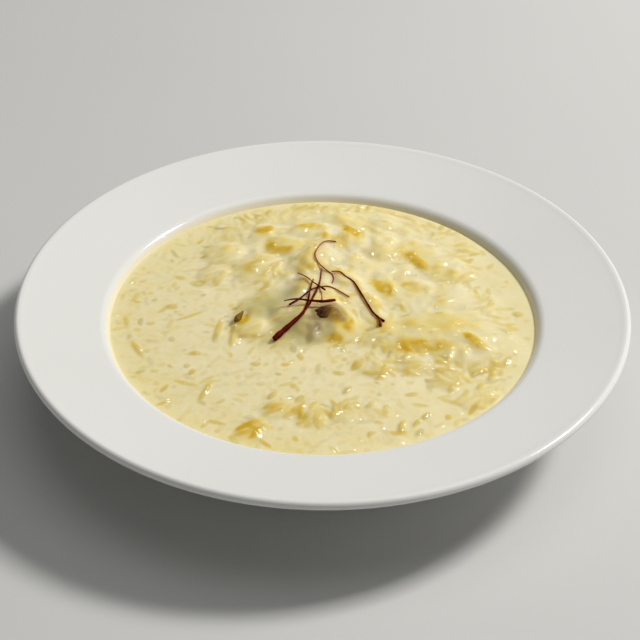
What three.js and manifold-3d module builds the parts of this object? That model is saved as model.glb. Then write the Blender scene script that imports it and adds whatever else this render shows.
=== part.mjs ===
// Kheer (Indian rice pudding) served in a rimmed soup plate of white porcelain.
//
// Millimetres, +Z up. The origin is on the table, under the middle of the plate.
// +X runs to the diner's right and -Y towards the diner.
//
// Sub-parts:
//   plate           one turned solid: foot ring, deep well and wide rim
//   kheer           thickened milk up to its level, the low mound of rice in it, and rice grains fused on
//   raisin_dark, raisin_golden, cardamom_pod   fruit and spice half sunk in the pudding
//   saffron_1..6    the saffron threads lying on top, each a tapered stigma

import * as THREE from 'three';
import { mergeVertices } from 'three/addons/utils/BufferGeometryUtils.js';
import Module from 'manifold-3d';

const wasm = await Module();
wasm.setup();

// ---------------------------------------------------------------- driving dimensions

const PLATE = {
  radius: 120, // half of the 240 mm outer diameter
  height: 38, // table to the top of the lip
  lipRadius: 1.8, // the lip is a full round
  wall: 4.4, // thickness of the porcelain under the rim and round the well
  underRound: 5, // hollow round between the wall and the rim, seen from below
  wellFloor: 8, // height of the flat inside
  wellFlatRadius: 63, // the flat inside ends here
  wellCornerRadius: 16, // inside corner between flat and wall
  wallSlope: 58, // degrees above horizontal
  edgeRadius: 6, // rounded break between the wall and the rim
  rimSlope: 10.5, // degrees, where the rim starts
  rimCurl: 0.00095, // how fast the rim steepens towards the lip, per mm
  footOuter: 66.5,
  footInner: 60,
  footRecess: 3.3, // height of the glazed recess inside the foot ring
  segments: 64,
};

const MILK = {
  level: 28, // height of the free surface
  radius: 84.4, // where the surface meets the wall
};

const GAP = 0.3; // clearance between touching solids
const RELIEF_PITCH = 4.6; // spacing of the mound's relief
const GRAIN = { length: 7.6, diameter: 2.5, count: 100, spacing: 5.6, rise: 0.95 };

// Broad swells that carry the mound: x, y, half length, half width, turn in degrees, height.
const SWELLS = [
  [8, 44, 62, 41, -6, 2.7],
  [-2, 0, 36, 25, 10, 2.5],
  [46, -4, 38, 36, 0, 2.0],
];

// Lumps of clotted rice: x, y, half length, half width, turn in degrees, height.
const LUMPS = [
  // back of the mound, left to right
  [-25.7, 54, 6, 4.5, 20, 1.4],
  [-13.7, 45.4, 10, 7.5, -10, 2.3],
  [-4.6, 57.7, 11, 7.5, 15, 2.3],
  [9.4, 67, 11, 7, 0, 1.9],
  [25, 67, 10, 7, -20, 1.8],
  [12, 49, 9.5, 7, -35, 2.3],
  [25.9, 46, 9, 12, 0, 2.6],
  [39.6, 44, 10, 9, -30, 2.3],
  [53, 31, 10, 9, -20, 2.5],
  // left shoulder
  [-27, 30.5, 11, 9, 40, 1.9],
  [-41, 42, 9, 10, 0, 1.1],
  [-44, 27, 8, 8, 0, 1.2],
  // middle
  [-2, 33, 13, 8.5, 10, 2.1],
  [14, 31, 10, 8, -20, 1.8],
  [4, 18, 9, 6, -10, 1.5],
  [26.2, 15, 9, 7.5, -30, 2.2],
  [38, 17, 8, 7, 0, 2.2],
  [53.4, 11.7, 9, 9, 0, 1.8],
  // under the saffron
  [-2, -3, 18, 13, 0, 2.3],
  [9.5, -11, 8.5, 7, 20, 1.9],
  [-28.4, -8, 7, 8, 0, 1.7],
  [-22, 7, 14, 9, 30, 1.5],
  // streaked ridge on the right, and its two ends
  [42, -10, 27, 10, 14, 2.0],
  [23.5, -17, 8, 5.5, 20, 1.2],
  [66, -8, 10, 7, 0, 1.0],
  // loose clots in front of the ridge
  [20, -33, 9, 7, -30, 1.9],
  [34.5, -32, 8, 6, 20, 1.5],
  [48.7, -40.4, 8, 6, 30, 1.7],
  [62, -31, 9, 7, 20, 1.1],
  [58.5, -51, 9, 6, 30, 1.8],
  // front row
  [-25.2, -70, 7, 5, 30, 1.5],
  [-14.7, -58, 9, 5.5, 0, 1.8],
  [-3.5, -61.5, 7, 6, -60, 1.9],
  [9, -60, 8, 6, 0, 1.8],
  [19, -58, 7, 5, 0, 1.4],
];

// Fruit and spice: centre, half sizes, turn in degrees.
const TOPPINGS = {
  raisin_dark: { at: [1.8, -4.4, 31.5], half: [5, 3.4, 2.3], turn: 8, colour: 0x3a2018 },
  raisin_golden: { at: [59.5, -19, 29.9], half: [5.2, 2.9, 2.1], turn: -38, colour: 0xd9a021 },
  cardamom_pod: { at: [-31.3, -4.2, 29.5], half: [4.6, 2.3, 1.8], turn: 42, colour: 0x6e4a12 },
};

// Saffron threads. Each branch is a route of [x, y, z, diameter] along the middle of the stigma.
const SAFFRON = {
  saffron_1: [
    [[-18.6, -19.1, 30.2, 2.0], [-15.5, -15.7, 31.3, 1.7], [-12.3, -12.4, 32.4, 1.3], [-8.6, -8.4, 33.7, 1.0],
      [-6.9, -5.2, 34.2, 0.9], [-5.7, 0.9, 34.3, 0.9], [-5.0, 8.4, 34.2, 0.8], [-3.8, 16.0, 33.8, 0.6]],
    [[-8.0, -7.6, 33.9, 0.7], [-5.5, -2.6, 34.3, 0.8], [-4.0, 2.3, 34.3, 0.8], [-2.3, 8.4, 34.2, 0.8],
      [-1.1, 15.7, 33.3, 0.7], [-0.5, 26.3, 31.8, 0.6]],
  ],
  saffron_2: [
    [[-15.1, 0.1, 34.6, 0.5], [-10.8, 0.5, 35.2, 0.7], [-7.4, -0.4, 35.5, 0.8], [-4.1, -1.0, 35.5, 0.8],
      [0.2, -0.7, 35.0, 0.9], [5.0, 1.3, 34.2, 0.9]],
  ],
  saffron_3: [
    [[-13.0, 0.1, 32.8, 1.0], [-9.2, 3.7, 33.0, 0.9], [-6.7, 7.1, 33.0, 0.8], [-4.5, 10.2, 32.9, 0.7],
      [-1.9, 11.7, 32.8, 0.65], [1.5, 12.5, 32.8, 0.6], [4.6, 11.6, 32.5, 0.55], [10.6, 6.8, 31.8, 0.5]],
    [[-1.3, 11.6, 32.8, 0.5], [-0.4, 6.4, 33.4, 0.4], [-0.1, 1.8, 33.3, 0.35]],
  ],
  saffron_4: [
    [[-10.1, 20.8, 33.6, 0.5], [-6.8, 16.5, 34.8, 0.6], [-4.1, 12.7, 35.1, 0.6], [-1.9, 10.1, 35.1, 0.7],
      [1.1, 7.8, 34.4, 0.8]],
  ],
  saffron_5: [
    [[5.4, 46.0, 32.0, 0.7], [2.0, 46.0, 32.3, 0.6], [-0.3, 44.0, 32.6, 0.5], [-2.5, 38.6, 33.0, 0.5],
      [-3.2, 34.3, 33.2, 0.55], [-2.0, 29.3, 33.2, 0.55], [-0.2, 26.1, 33.0, 0.6], [2.0, 23.3, 32.8, 0.6],
      [3.7, 21.4, 32.5, 0.6], [4.4, 18.9, 32.2, 0.6], [3.7, 15.8, 31.9, 0.5]],
  ],
  saffron_6: [
    [[3.6, 22.2, 33.4, 0.5], [6.8, 22.1, 33.4, 0.55], [9.4, 19.3, 33.0, 0.6], [12.5, 16.4, 32.4, 0.7],
      [15.0, 10.5, 31.8, 0.75], [17.5, 3.7, 31.4, 0.8], [19.9, -2.4, 31.1, 0.9], [22.3, -6.6, 31.1, 1.1],
      [22.6, -11.2, 31.4, 1.6]],
    [[21.4, -5.1, 31.1, 0.7], [22.5, -6.5, 31.1, 0.9], [24.2, -8.3, 31.1, 0.9]],
  ],
};
const THREAD = { sides: 5, step: 2.3 };

const COLOUR = {
  porcelain: { color: 0xe9eae6, roughness: 0.12, metalness: 0 },
  pudding: { color: 0xe6d9a6, roughness: 0.3, metalness: 0 },
  saffron: { color: 0x7a0f12, roughness: 0.5, metalness: 0 },
};

// ---------------------------------------------------------------- helpers

const radians = THREE.MathUtils.degToRad;

// A seeded random draw, so that every build gives the same pudding.
function randomDraw(seed) {
  let state = seed;
  return () => {
    state = (state * 1664525 + 1013904223) % 4294967296;
    return state / 4294967296;
  };
}

// A closed three.js geometry becomes a solid: seams are welded and collapsed triangles dropped.
function toSolid(geometry) {
  const bare = geometry.clone();
  bare.deleteAttribute('normal');
  bare.deleteAttribute('uv');
  const welded = mergeVertices(bare, 1e-4);
  const corners = [];
  const index = welded.index.array;
  for (let i = 0; i < index.length; i += 3) {
    const [a, b, c] = index.slice(i, i + 3);
    if (a !== b && b !== c && a !== c) corners.push(a, b, c);
  }
  return new wasm.Manifold(new wasm.Mesh({
    numProp: 3,
    vertProperties: new Float32Array(welded.attributes.position.array),
    triVerts: new Uint32Array(corners),
  }));
}

function toGeometry(solid) {
  const mesh = solid.getMesh();
  const geometry = new THREE.BufferGeometry();
  geometry.setAttribute('position', new THREE.BufferAttribute(mesh.vertProperties, 3));
  geometry.setIndex(new THREE.BufferAttribute(mesh.triVerts, 1));
  geometry.computeVertexNormals();
  return geometry;
}

// Points along a round of the given centre and radius, between two directions in degrees.
function arc(centreX, centreY, radius, from, to, steps) {
  const points = [];
  for (let i = 0; i <= steps; i += 1) {
    const angle = radians(from + ((to - from) * i) / steps);
    points.push([centreX + radius * Math.cos(angle), centreY + radius * Math.sin(angle)]);
  }
  return points;
}

// A solid of revolution about +Z from [radius, height] pairs that start and end on the axis.
function turned(profile, segments) {
  const lathe = new THREE.LatheGeometry(profile.map(([r, h]) => new THREE.Vector2(r, h)), segments);
  lathe.rotateX(Math.PI / 2);
  return toSolid(lathe);
}

// ---------------------------------------------------------------- plate

// Centres of the two rounds inside the well, worked out from the slopes that they join.
function wellRounds() {
  const slope = radians(PLATE.wallSlope);
  const corner = [PLATE.wellFlatRadius, PLATE.wellFloor + PLATE.wellCornerRadius];
  const foot = [
    corner[0] + PLATE.wellCornerRadius * Math.sin(slope),
    corner[1] - PLATE.wellCornerRadius * Math.cos(slope),
  ];
  // The straight wall passes through the milk line and ends a little above it.
  const reach = MILK.level + 1 - foot[1];
  const top = [foot[0] + reach / Math.tan(slope), MILK.level + 1];
  const edge = [top[0] + PLATE.edgeRadius * Math.sin(slope), top[1] - PLATE.edgeRadius * Math.cos(slope)];
  return { corner, edge };
}

function plate() {
  const { corner, edge } = wellRounds();
  const slope = PLATE.wallSlope;
  const lip = [PLATE.radius - PLATE.lipRadius, PLATE.height - PLATE.lipRadius];
  const inner = arc(edge[0], edge[1], PLATE.edgeRadius, 90 + slope, 90 + PLATE.rimSlope, 3);
  const rimStart = inner[inner.length - 1];
  const climb = Math.tan(radians(PLATE.rimSlope));
  const rimHeight = (r) => rimStart[1] + climb * (r - rimStart[0]) + PLATE.rimCurl * (r - rimStart[0]) ** 2;
  const rimUnder = (r) => rimHeight(r) - PLATE.wall + 0.6 * ((r - rimStart[0]) / (lip[0] - rimStart[0]));
  const outer = PLATE.wellCornerRadius + PLATE.wall;
  const under = [edge[0] + 0.6 * PLATE.underRound, edge[1] - 0.9 * PLATE.underRound];
  const middle = (PLATE.radius + edge[0]) / 2;
  return turned([
    // underside, from the axis out to the foot ring
    [0, PLATE.footRecess],
    [PLATE.footInner - 2, PLATE.footRecess],
    [PLATE.footInner, PLATE.footRecess - 0.8],
    [PLATE.footInner + 0.9, 0],
    [PLATE.footOuter - 1.9, 0],
    [PLATE.footOuter - 0.8, 1],
    [PLATE.footOuter, PLATE.footRecess + 1],
    // outside of the well, then the underside of the rim
    ...arc(corner[0], corner[1], outer, -70, -90 + slope, 3),
    ...arc(under[0], under[1], PLATE.underRound, 90 + slope - 8, 90 + PLATE.rimSlope + 2, 2),
    [middle, rimUnder(middle)],
    // lip
    ...arc(lip[0], lip[1], PLATE.lipRadius, -70, 90, 4),
    // rim, rounded edge and well
    [PLATE.radius - 4, rimHeight(PLATE.radius - 4)],
    [middle, rimHeight(middle)],
    ...inner.slice().reverse(),
    ...arc(corner[0], corner[1], PLATE.wellCornerRadius, -90 + slope, -90, 4),
    [0, PLATE.wellFloor],
  ], PLATE.segments);
}

// ---------------------------------------------------------------- kheer

// Share of a hump's height left at a point: 1 in the middle, 0 from its rim outwards.
function hump(x, y, [cx, cy, halfLength, halfWidth, turn], power) {
  const angle = radians(turn);
  const along = ((x - cx) * Math.cos(angle) + (y - cy) * Math.sin(angle)) / halfLength;
  const across = ((y - cy) * Math.cos(angle) - (x - cx) * Math.sin(angle)) / halfWidth;
  return Math.max(0, 1 - along * along - across * across) ** power;
}

// Height of the pudding's surface above the milk level.
function relief(x, y) {
  let swell = 0;
  for (const row of SWELLS) swell += (row[5] * hump(x, y, row, 1.1)) ** 3;
  let clots = 0;
  for (const row of LUMPS) clots += (row[5] * hump(x, y, row, 0.8)) ** 4;
  return Math.cbrt(swell) + clots ** 0.25;
}

// A block whose top carries the relief, to be trimmed to the well.
function reliefBlock() {
  const cells = Math.ceil((2 * MILK.radius) / RELIEF_PITCH) + 2;
  const side = cells * RELIEF_PITCH;
  const block = new THREE.BoxGeometry(side, side, MILK.level, cells, cells, 1);
  block.translate(0, 0, MILK.level / 2);
  const position = block.attributes.position;
  for (let i = 0; i < position.count; i += 1) {
    if (position.getZ(i) > MILK.level - 1e-3) {
      position.setZ(i, MILK.level + relief(position.getX(i), position.getY(i)));
    }
  }
  return toSolid(block);
}

// The space inside the well, one gap in from the porcelain.
function wellSpace() {
  const { corner } = wellRounds();
  const edge = MILK.radius - GAP / Math.sin(radians(PLATE.wallSlope));
  return turned([
    [0, PLATE.wellFloor + GAP],
    ...arc(corner[0], corner[1], PLATE.wellCornerRadius - GAP, -90, -90 + PLATE.wallSlope, 3),
    [edge, MILK.level],
    [edge, PLATE.height],
    [0, PLATE.height],
  ], PLATE.segments);
}

// One cooked grain: a five-sided spindle along X.
function grain(length, diameter) {
  const half = length / 2;
  const body = [[0, -half], [diameter * 0.48, -half * 0.4], [diameter * 0.5, half * 0.45], [0, half]];
  const spindle = new THREE.LatheGeometry(body.map(([r, h]) => new THREE.Vector2(r, h)), 5);
  return spindle.rotateZ(Math.PI / 2);
}

// Distance in plan from a point to the nearest saffron thread.
function threadDistance(x, y) {
  let nearest = Infinity;
  for (const branches of Object.values(SAFFRON)) {
    for (const route of branches) {
      for (let i = 1; i < route.length; i += 1) {
        const line = new THREE.Line3(
          new THREE.Vector3(route[i - 1][0], route[i - 1][1], 0),
          new THREE.Vector3(route[i][0], route[i][1], 0),
        );
        const foot = line.closestPointToPoint(new THREE.Vector3(x, y, 0), true, new THREE.Vector3());
        nearest = Math.min(nearest, foot.distanceTo(new THREE.Vector3(x, y, 0)));
      }
    }
  }
  return nearest;
}

function nearTopping(x, y, margin) {
  return Object.values(TOPPINGS).some(({ at, half }) => Math.hypot(x - at[0], y - at[1]) < half[0] + margin);
}

// Places for the fused grains: crowded on the mound, sparse on the open milk, none under the threads.
function grainPlaces() {
  const draw = randomDraw(20);
  const places = [];
  for (let attempt = 0; attempt < 12000 && places.length < GRAIN.count; attempt += 1) {
    const r = (MILK.radius - 7) * Math.sqrt(draw());
    const angle = 2 * Math.PI * draw();
    const [x, y] = [r * Math.cos(angle), r * Math.sin(angle)];
    const height = relief(x, y);
    const wanted = draw() < 0.05 + Math.min(0.95, height / 3);
    const free = places.every((p) => Math.hypot(p.x - x, p.y - y) > GRAIN.spacing);
    const clear = threadDistance(x, y) > 4.5 && !nearTopping(x, y, 4.5);
    const turn = x > 20 && y < 5 && y > -25 ? 14 + 25 * (draw() - 0.5) : 360 * draw();
    const size = 0.85 + 0.3 * draw();
    if (wanted && free && clear) places.push({ x, y, height, turn, size });
  }
  return places;
}

function fusedGrains() {
  return grainPlaces().map(({ x, y, height, turn, size }) => {
    const step = 1.5;
    const angle = radians(turn);
    const [ux, uy] = [Math.cos(angle), Math.sin(angle)];
    const climb = (relief(x + step * ux, y + step * uy) - relief(x - step * ux, y - step * uy)) / (2 * step);
    const piece = grain(GRAIN.length * size, GRAIN.diameter * size);
    piece.rotateY(-Math.atan(climb));
    piece.rotateZ(angle);
    piece.translate(x, y, MILK.level + height + GRAIN.rise - (GRAIN.diameter * size) / 2);
    return toSolid(piece);
  });
}

// ---------------------------------------------------------------- fruit and spice

// A shrivelled ellipsoid; grow makes the pocket that the pudding leaves for it.
function topping({ at, half, turn }, grow) {
  const ball = new THREE.SphereGeometry(1, 10, 7);
  const position = ball.attributes.position;
  for (let i = 0; i < position.count; i += 1) {
    const p = new THREE.Vector3().fromBufferAttribute(position, i);
    const crease = grow > 0 ? 1 : 1 - 0.06 * (1 + Math.sin(5 * p.y + 4 * p.z)) * (1 - Math.abs(p.x));
    position.setXYZ(i, p.x * (half[0] + grow), p.y * (half[1] + grow) * crease, p.z * (half[2] + grow) * crease);
  }
  ball.rotateZ(radians(turn));
  ball.translate(...at);
  return toSolid(ball);
}

// ---------------------------------------------------------------- saffron

// One branch: rings of points round the route, their size following the stated diameters, closed at both ends.
function branch(route) {
  const middle = new THREE.CatmullRomCurve3(route.map(([x, y, z]) => new THREE.Vector3(x, y, z)));
  const width = new THREE.CatmullRomCurve3(route.map((p) => new THREE.Vector3(p[3] / 2, 0, 0)));
  const rings = Math.max(3, Math.round(middle.getLength() / THREAD.step));
  const frames = middle.computeFrenetFrames(rings);
  const points = [];
  for (let k = 0; k <= rings; k += 1) {
    const t = middle.getUtoTmapping(k / rings);
    const centre = middle.getPoint(t);
    const radius = width.getPoint(t).x;
    for (let s = 0; s < THREAD.sides; s += 1) {
      const angle = (2 * Math.PI * s) / THREAD.sides;
      const out = frames.normals[k].clone().multiplyScalar(radius * Math.cos(angle))
        .addScaledVector(frames.binormals[k], radius * Math.sin(angle));
      points.push(centre.clone().add(out));
    }
  }
  const ends = [points.length, points.length + 1];
  points.push(middle.getPoint(0), middle.getPoint(1));
  const corners = [];
  const at = (k, s) => k * THREAD.sides + (s % THREAD.sides);
  for (let s = 0; s < THREAD.sides; s += 1) {
    for (let k = 0; k < rings; k += 1) {
      corners.push(at(k, s), at(k, s + 1), at(k + 1, s + 1), at(k, s), at(k + 1, s + 1), at(k + 1, s));
    }
    corners.push(ends[0], at(0, s + 1), at(0, s), ends[1], at(rings, s), at(rings, s + 1));
  }
  const tube = new THREE.BufferGeometry().setFromPoints(points);
  tube.setIndex(corners);
  return toSolid(tube);
}

// ---------------------------------------------------------------- the object

const kheer = new THREE.Group();

function add(name, solid, look) {
  const mesh = new THREE.Mesh(toGeometry(solid), new THREE.MeshStandardMaterial(look));
  mesh.name = name;
  kheer.add(mesh);
}

function pudding() {
  const whole = reliefBlock().intersect(wellSpace());
  const heaped = wasm.Manifold.union([whole, ...fusedGrains()]);
  const pockets = Object.values(TOPPINGS).map((item) => topping(item, GAP));
  const pieces = heaped.subtract(wasm.Manifold.union(pockets)).decompose();
  return pieces.sort((a, b) => b.volume() - a.volume())[0];
}

add('plate', plate(), COLOUR.porcelain);
add('kheer', pudding(), COLOUR.pudding);
for (const [name, item] of Object.entries(TOPPINGS)) {
  add(name, topping(item, 0), { color: item.colour, roughness: 0.45, metalness: 0 });
}
for (const [name, branches] of Object.entries(SAFFRON)) {
  add(name, wasm.Manifold.union(branches.map(branch)), COLOUR.saffron);
}

export default kheer;
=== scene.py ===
"""Kheer, a rice pudding with saffron, in its white soup plate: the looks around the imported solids.

Lengths are in millimetres unless a name says otherwise, and MM turns them into metres.
The frame is the solids' own: +Z up, +X to the diner's right, -Y towards the diner, z = 0 on the table.
"""
import math

import bpy
import numpy as np
from mathutils import Matrix, Vector


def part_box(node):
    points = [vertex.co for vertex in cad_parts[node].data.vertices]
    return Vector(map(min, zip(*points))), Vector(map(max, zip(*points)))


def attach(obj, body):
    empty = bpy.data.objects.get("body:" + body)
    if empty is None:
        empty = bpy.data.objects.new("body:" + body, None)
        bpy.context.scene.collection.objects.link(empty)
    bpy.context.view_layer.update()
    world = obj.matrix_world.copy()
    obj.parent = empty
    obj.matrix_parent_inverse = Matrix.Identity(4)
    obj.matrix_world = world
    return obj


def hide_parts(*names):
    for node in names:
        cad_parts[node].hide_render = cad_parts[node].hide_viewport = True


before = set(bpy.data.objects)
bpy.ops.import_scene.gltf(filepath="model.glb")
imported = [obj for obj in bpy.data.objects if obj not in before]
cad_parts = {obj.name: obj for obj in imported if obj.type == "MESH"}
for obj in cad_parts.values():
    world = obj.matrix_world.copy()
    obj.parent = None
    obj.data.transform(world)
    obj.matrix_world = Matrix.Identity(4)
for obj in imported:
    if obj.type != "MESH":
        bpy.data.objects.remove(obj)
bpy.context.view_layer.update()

MM = 0.001
RNG = np.random.default_rng(31)

# ---------------- sizes shared with the solids

_, plate_far_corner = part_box("plate")
PLATE_RADIUS, _, PLATE_HEIGHT = np.array(plate_far_corner) / MM
LIP_RADIUS = 1.8
WALL = 4.4  # thickness
UNDER_ROUND = 5.0  # radius below the rim, outside the well
WELL_FLOOR = 8.0
WELL_FLAT_RADIUS = 63.0
WELL_CORNER_RADIUS = 16.0
WALL_SLOPE = 58.0  # degrees, as RIM_SLOPE
WALL_TOP = 28.5
EDGE_RADIUS = 5.0  # of the round from the wall to the rim
RIM_SLOPE = 11.66
RIM_CURL = 0.00095  # per mm: how the rim steepens outwards
FOOT_OUTER = 66.5
FOOT_INNER = 60.0
FOOT_RECESS = 3.3

MILK_LEVEL = 28.0
MILK_RADIUS = 84.4
MILK_SAG = 0.9  # how far the milk at the wall stands under the middle
MENISCUS = 0.12  # how far the milk climbs at the wall

# Broad swells that carry the mound: x, y, half length, half width, turn in degrees, height.
SWELLS = [
    [8, 44, 62, 41, -6, 2.7],
    [-2, 0, 36, 25, 10, 2.5],
    [43, -4, 33, 34, 0, 2.0],
]

# Lumps of clotted rice: x, y, half length, half width, turn in degrees, height.
RIDGE = [42, -10, 27, 10, 14, 2.0]
LUMPS = [
    # back of the mound, left to right
    [-25.7, 54, 6, 4.5, 20, 1.4],
    [-13.7, 45.4, 10, 7.5, -10, 2.3],
    [-4.6, 57.7, 11, 7.5, 15, 2.3],
    [9.4, 67, 11, 7, 0, 1.9],
    [25, 67, 10, 7, -20, 1.8],
    [12, 49, 9.5, 7, -35, 2.3],
    [25.9, 46, 9, 12, 0, 2.6],
    [39.6, 44, 10, 9, -30, 2.3],
    [53, 31, 10, 9, -20, 2.5],
    # left shoulder
    [-27, 30.5, 11, 9, 40, 1.9],
    [-41, 42, 9, 10, 0, 1.1],
    [-44, 27, 8, 8, 0, 1.2],
    # middle
    [-2, 33, 13, 8.5, 10, 2.1],
    [14, 31, 10, 8, -20, 1.8],
    [4, 18, 9, 6, -10, 1.5],
    [26.2, 15, 9, 7.5, -30, 2.2],
    [38, 17, 8, 7, 0, 2.2],
    [53.4, 11.7, 9, 9, 0, 1.8],
    # under the saffron
    [-2, -3, 18, 13, 0, 2.3],
    [9.5, -11, 8.5, 7, 20, 1.9],
    [-28.4, -8, 7, 8, 0, 1.7],
    [-22, 7, 14, 9, 30, 1.5],
    # streaked ridge on the right, and its two ends
    RIDGE,
    [23.5, -17, 8, 5.5, 20, 1.2],
    [66, -8, 10, 7, 0, 0.8],
    # loose clots in front of the ridge
    [20, -33, 9, 7, -30, 1.9],
    [34.5, -32, 8, 6, 20, 1.5],
    [48.7, -40.4, 8, 6, 30, 1.7],
    [62, -31, 9, 7, 20, 1.1],
    [58.5, -51, 9, 6, 30, 1.8],
    # front row
    [-25.2, -70, 7, 5, 30, 1.5],
    [-14.7, -58, 9, 5.5, 0, 1.8],
    [-3.5, -61.5, 7, 6, -60, 1.9],
    [9, -60, 8, 6, 0, 1.8],
    [19, -58, 7, 5, 0, 1.4],
]

# Low lumps that the solids leave out: by the pod, round the golden raisin, beside the dark one.
SMALL_LUMPS = [
    [-26.8, -1.0, 5.5, 6.5, 20, 2.3],
    [57.0, -17.0, 24, 15, -20, 1.8],
    [10.5, -8.0, 4.5, 8, 10, 2.2],
]

# Smooth thick milk between the clots: x, y, half length, half width, turn in degrees, strength.
POOLS = [
    [-20, 30, 12, 9, 0, 1.0],
    [12, 6, 6, 12, 20, 1.0],
    [18, -9, 5, 10, 15, 1.0],
    [9, 27, 5, 4, 0, 0.8],
    [27.5, 0, 9, 6, 0, 1.0],
    [24, -17, 4.5, 4, 0, 0.8],
    [39, -29, 10, 3.5, 0, 0.9],
    [49, 70, 14, 9, -38, 1.0],
    [60, 55, 14, 10, -50, 1.0],
    [77, 14, 10, 18, 20, 1.0],
    [65, 45, 10, 18, 35, 1.0],
    [79, -14, 6, 16, 0, 0.9],
    [-7, 42, 6, 3, 10, 0.8],
    [-40, 14, 5, 9, 0, 0.7],
    [30, 35, 6, 4, 0, 0.7],
    [39, 15, 6, 3.5, 0, 0.7],
    [67, -34, 6, 5, 0, 0.6],
    [-14, -10, 8, 12, 0, 0.7],
]

# Folds of clotted rice: the foot of a steep flank from x, y to x, y with its body on the left of
# that line, then how far the body reaches behind the flank, and its height.
FOLDS = [
    # back, left to right
    [-28.3, 55.8, -21.1, 55.1, 8, 1.6],
    [-21.4, 50.5, -22.0, 40.8, 9, 1.2],
    [-21.9, 40.1, -13.6, 40.2, 9, 1.5],
    [-8.9, 57.6, -1.2, 49.3, 12, 1.5],
    [-2.0, 49.3, 5.5, 49.4, 12, 1.7],
    [8.5, 56.2, 16.4, 48.7, 9, 1.8],
    [21.0, 66.5, 19.4, 51.0, 7, 0.9],
    [32.9, 40.0, 40.7, 28.5, 10, 2.0],
    [41.5, 27.8, 57.7, 25.1, 10, 1.2],
    # left shoulder
    [-36.1, 32.6, -36.8, 19.7, 6, 0.8],
    [-29.2, 45.2, -30.0, 32.6, 6, 0.8],
    [-13.4, 27.1, -21.3, 16.4, 6, 0.7],
    [-54.1, 13.2, -48.1, 12.6, 6, 0.5],
    # middle and the small ring on the right
    [19.6, 18.3, 27.4, 9.4, 10, 1.8],
    [48.7, 17.9, 47.4, 8.9, 6, 0.8],
    [48.7, 18.6, 54.5, 20.1, 4, 0.5],
    [-31.5, -15.8, -21.5, -16.3, 8, 1.3],
    [6.1, -5.6, 10.7, -13.4, 7, 1.3],
    # streaked ridge and the clots below it
    [27.1, -24.0, 41.3, -24.5, 22, 2.2],
    [40.5, -24.5, 47.8, -18.1, 16, 1.4],
    [12.8, -28.6, 22.5, -24.7, 7, 0.9],
    [15.8, -35.9, 19.5, -35.9, 5, 0.9],
    [21.1, -33.4, 25.3, -32.7, 5, 0.8],
    [41.1, -35.6, 45.9, -36.2, 6, 1.1],
    [17.5, -44.3, 21.2, -46.1, 5, 0.8],
    # front row
    [-18.6, -63.3, -11.6, -63.2, 6, 1.2],
    [-8.7, -68.2, -4.7, -68.2, 6, 1.1],
    [-2.9, -67.0, 1.5, -67.0, 6, 1.2],
    [-29.4, -72.9, -21.1, -73.3, 7, 1.3],
    [25.7, -78.3, 30.7, -77.7, 7, 1.2],
]

# Grains that can be told apart in the milk: x, y, half length, half width, turn, top over the ground.
NOTED_GRAINS = [
    [-71.5, -22.9, 5.6, 1.2, -63, 0.3],
    [-50.9, -44.1, 4.9, 1.1, -21, -0.1],
    [-43.5, -49.0, 5.9, 1.2, 71, 0.5],
    [-48.6, -25.5, 2.0, 1.4, -10, 0.6],
    [-40.8, -10.7, 6.6, 1.3, 81, 0.4],
    [-34.7, -15.8, 5.5, 1.3, 85, 0.8],
    [-25.4, -32.1, 2.0, 1.3, -9, 0.2],
    [-14.0, -32.2, 1.6, 1.2, 1, 0.1],
    [-52.7, -2.0, 5.6, 0.9, 29, 0.1],
    [-60.2, 4.6, 2.4, 1.9, 1, 0.0],
    [-50.9, 20.2, 3.0, 2.2, -7, -0.1],
    [-67.7, -6.8, 1.8, 1.2, 1, -0.1],
    [-77.3, -5.6, 3.0, 1.1, -78, -0.1],
    [-74.2, 7.5, 1.5, 1.0, -15, -0.1],
    [-18.2, -50.8, 3.0, 1.3, 51, 0.8],
    [-8.2, -52.8, 3.0, 1.3, 55, 0.8],
    [77.7, 0.9, 2.3, 1.8, 1, 0.3],
    [58.9, -36.6, 4.3, 1.2, 41, 0.7],
    [29.0, -68.3, 3.7, 1.3, 77, 0.8],
    [45.2, -30.9, 2.4, 1.4, -18, 0.7],
    [34.5, -66.3, 2.4, 1.1, 55, 0.6],
    [38.0, -62.3, 2.4, 1.1, 55, 0.6],
    [10.1, -56.9, 3.0, 1.3, 54, 0.9],
    [4.2, -61.8, 2.7, 1.3, 57, 0.8],
    [48.9, -27.2, 4.5, 1.1, 77, 0.9],
    [70.7, -29.7, 4.0, 1.1, 59, 0.6],
    [64.1, -39.3, 2.8, 1.1, 45, 0.7],
    [54.3, -25.9, 3.0, 1.1, 62, 0.8],
    [26.4, -26.1, 3.6, 1.2, 71, 0.8],
    [32.2, -27.3, 3.3, 1.2, 60, 0.8],
    [59.4, -44.7, 2.8, 1.1, 61, 0.7],
    [48.6, -46.3, 2.6, 1.1, 55, 0.7],
    [47.6, -53.9, 4.4, 1.1, -27, -0.1],
    [33.2, -49.7, 2.5, 1.1, 14, 0.0],
    [36.4, -56.0, 3.3, 1.0, -9, -0.1],
    [6.2, -37.2, 2.3, 1.3, -8, 0.1],
    [22.9, -38.8, 3.9, 1.2, 45, 0.7],
    [9.6, -47.3, 2.8, 1.2, 54, 0.7],
    [18.0, -56.5, 2.6, 1.1, 53, 0.7],
    [17.7, -72.3, 2.0, 1.0, 51, 0.6],
    [-24.7, -66.1, 3.4, 1.5, 27, 0.8],
    [-58.6, -55.6, 2.9, 1.0, 31, -0.1],
    [-58.9, -47.2, 2.7, 1.0, 61, 0.0],
    [-38.8, -66.5, 3.8, 1.0, -16, 0.0],
]

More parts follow.
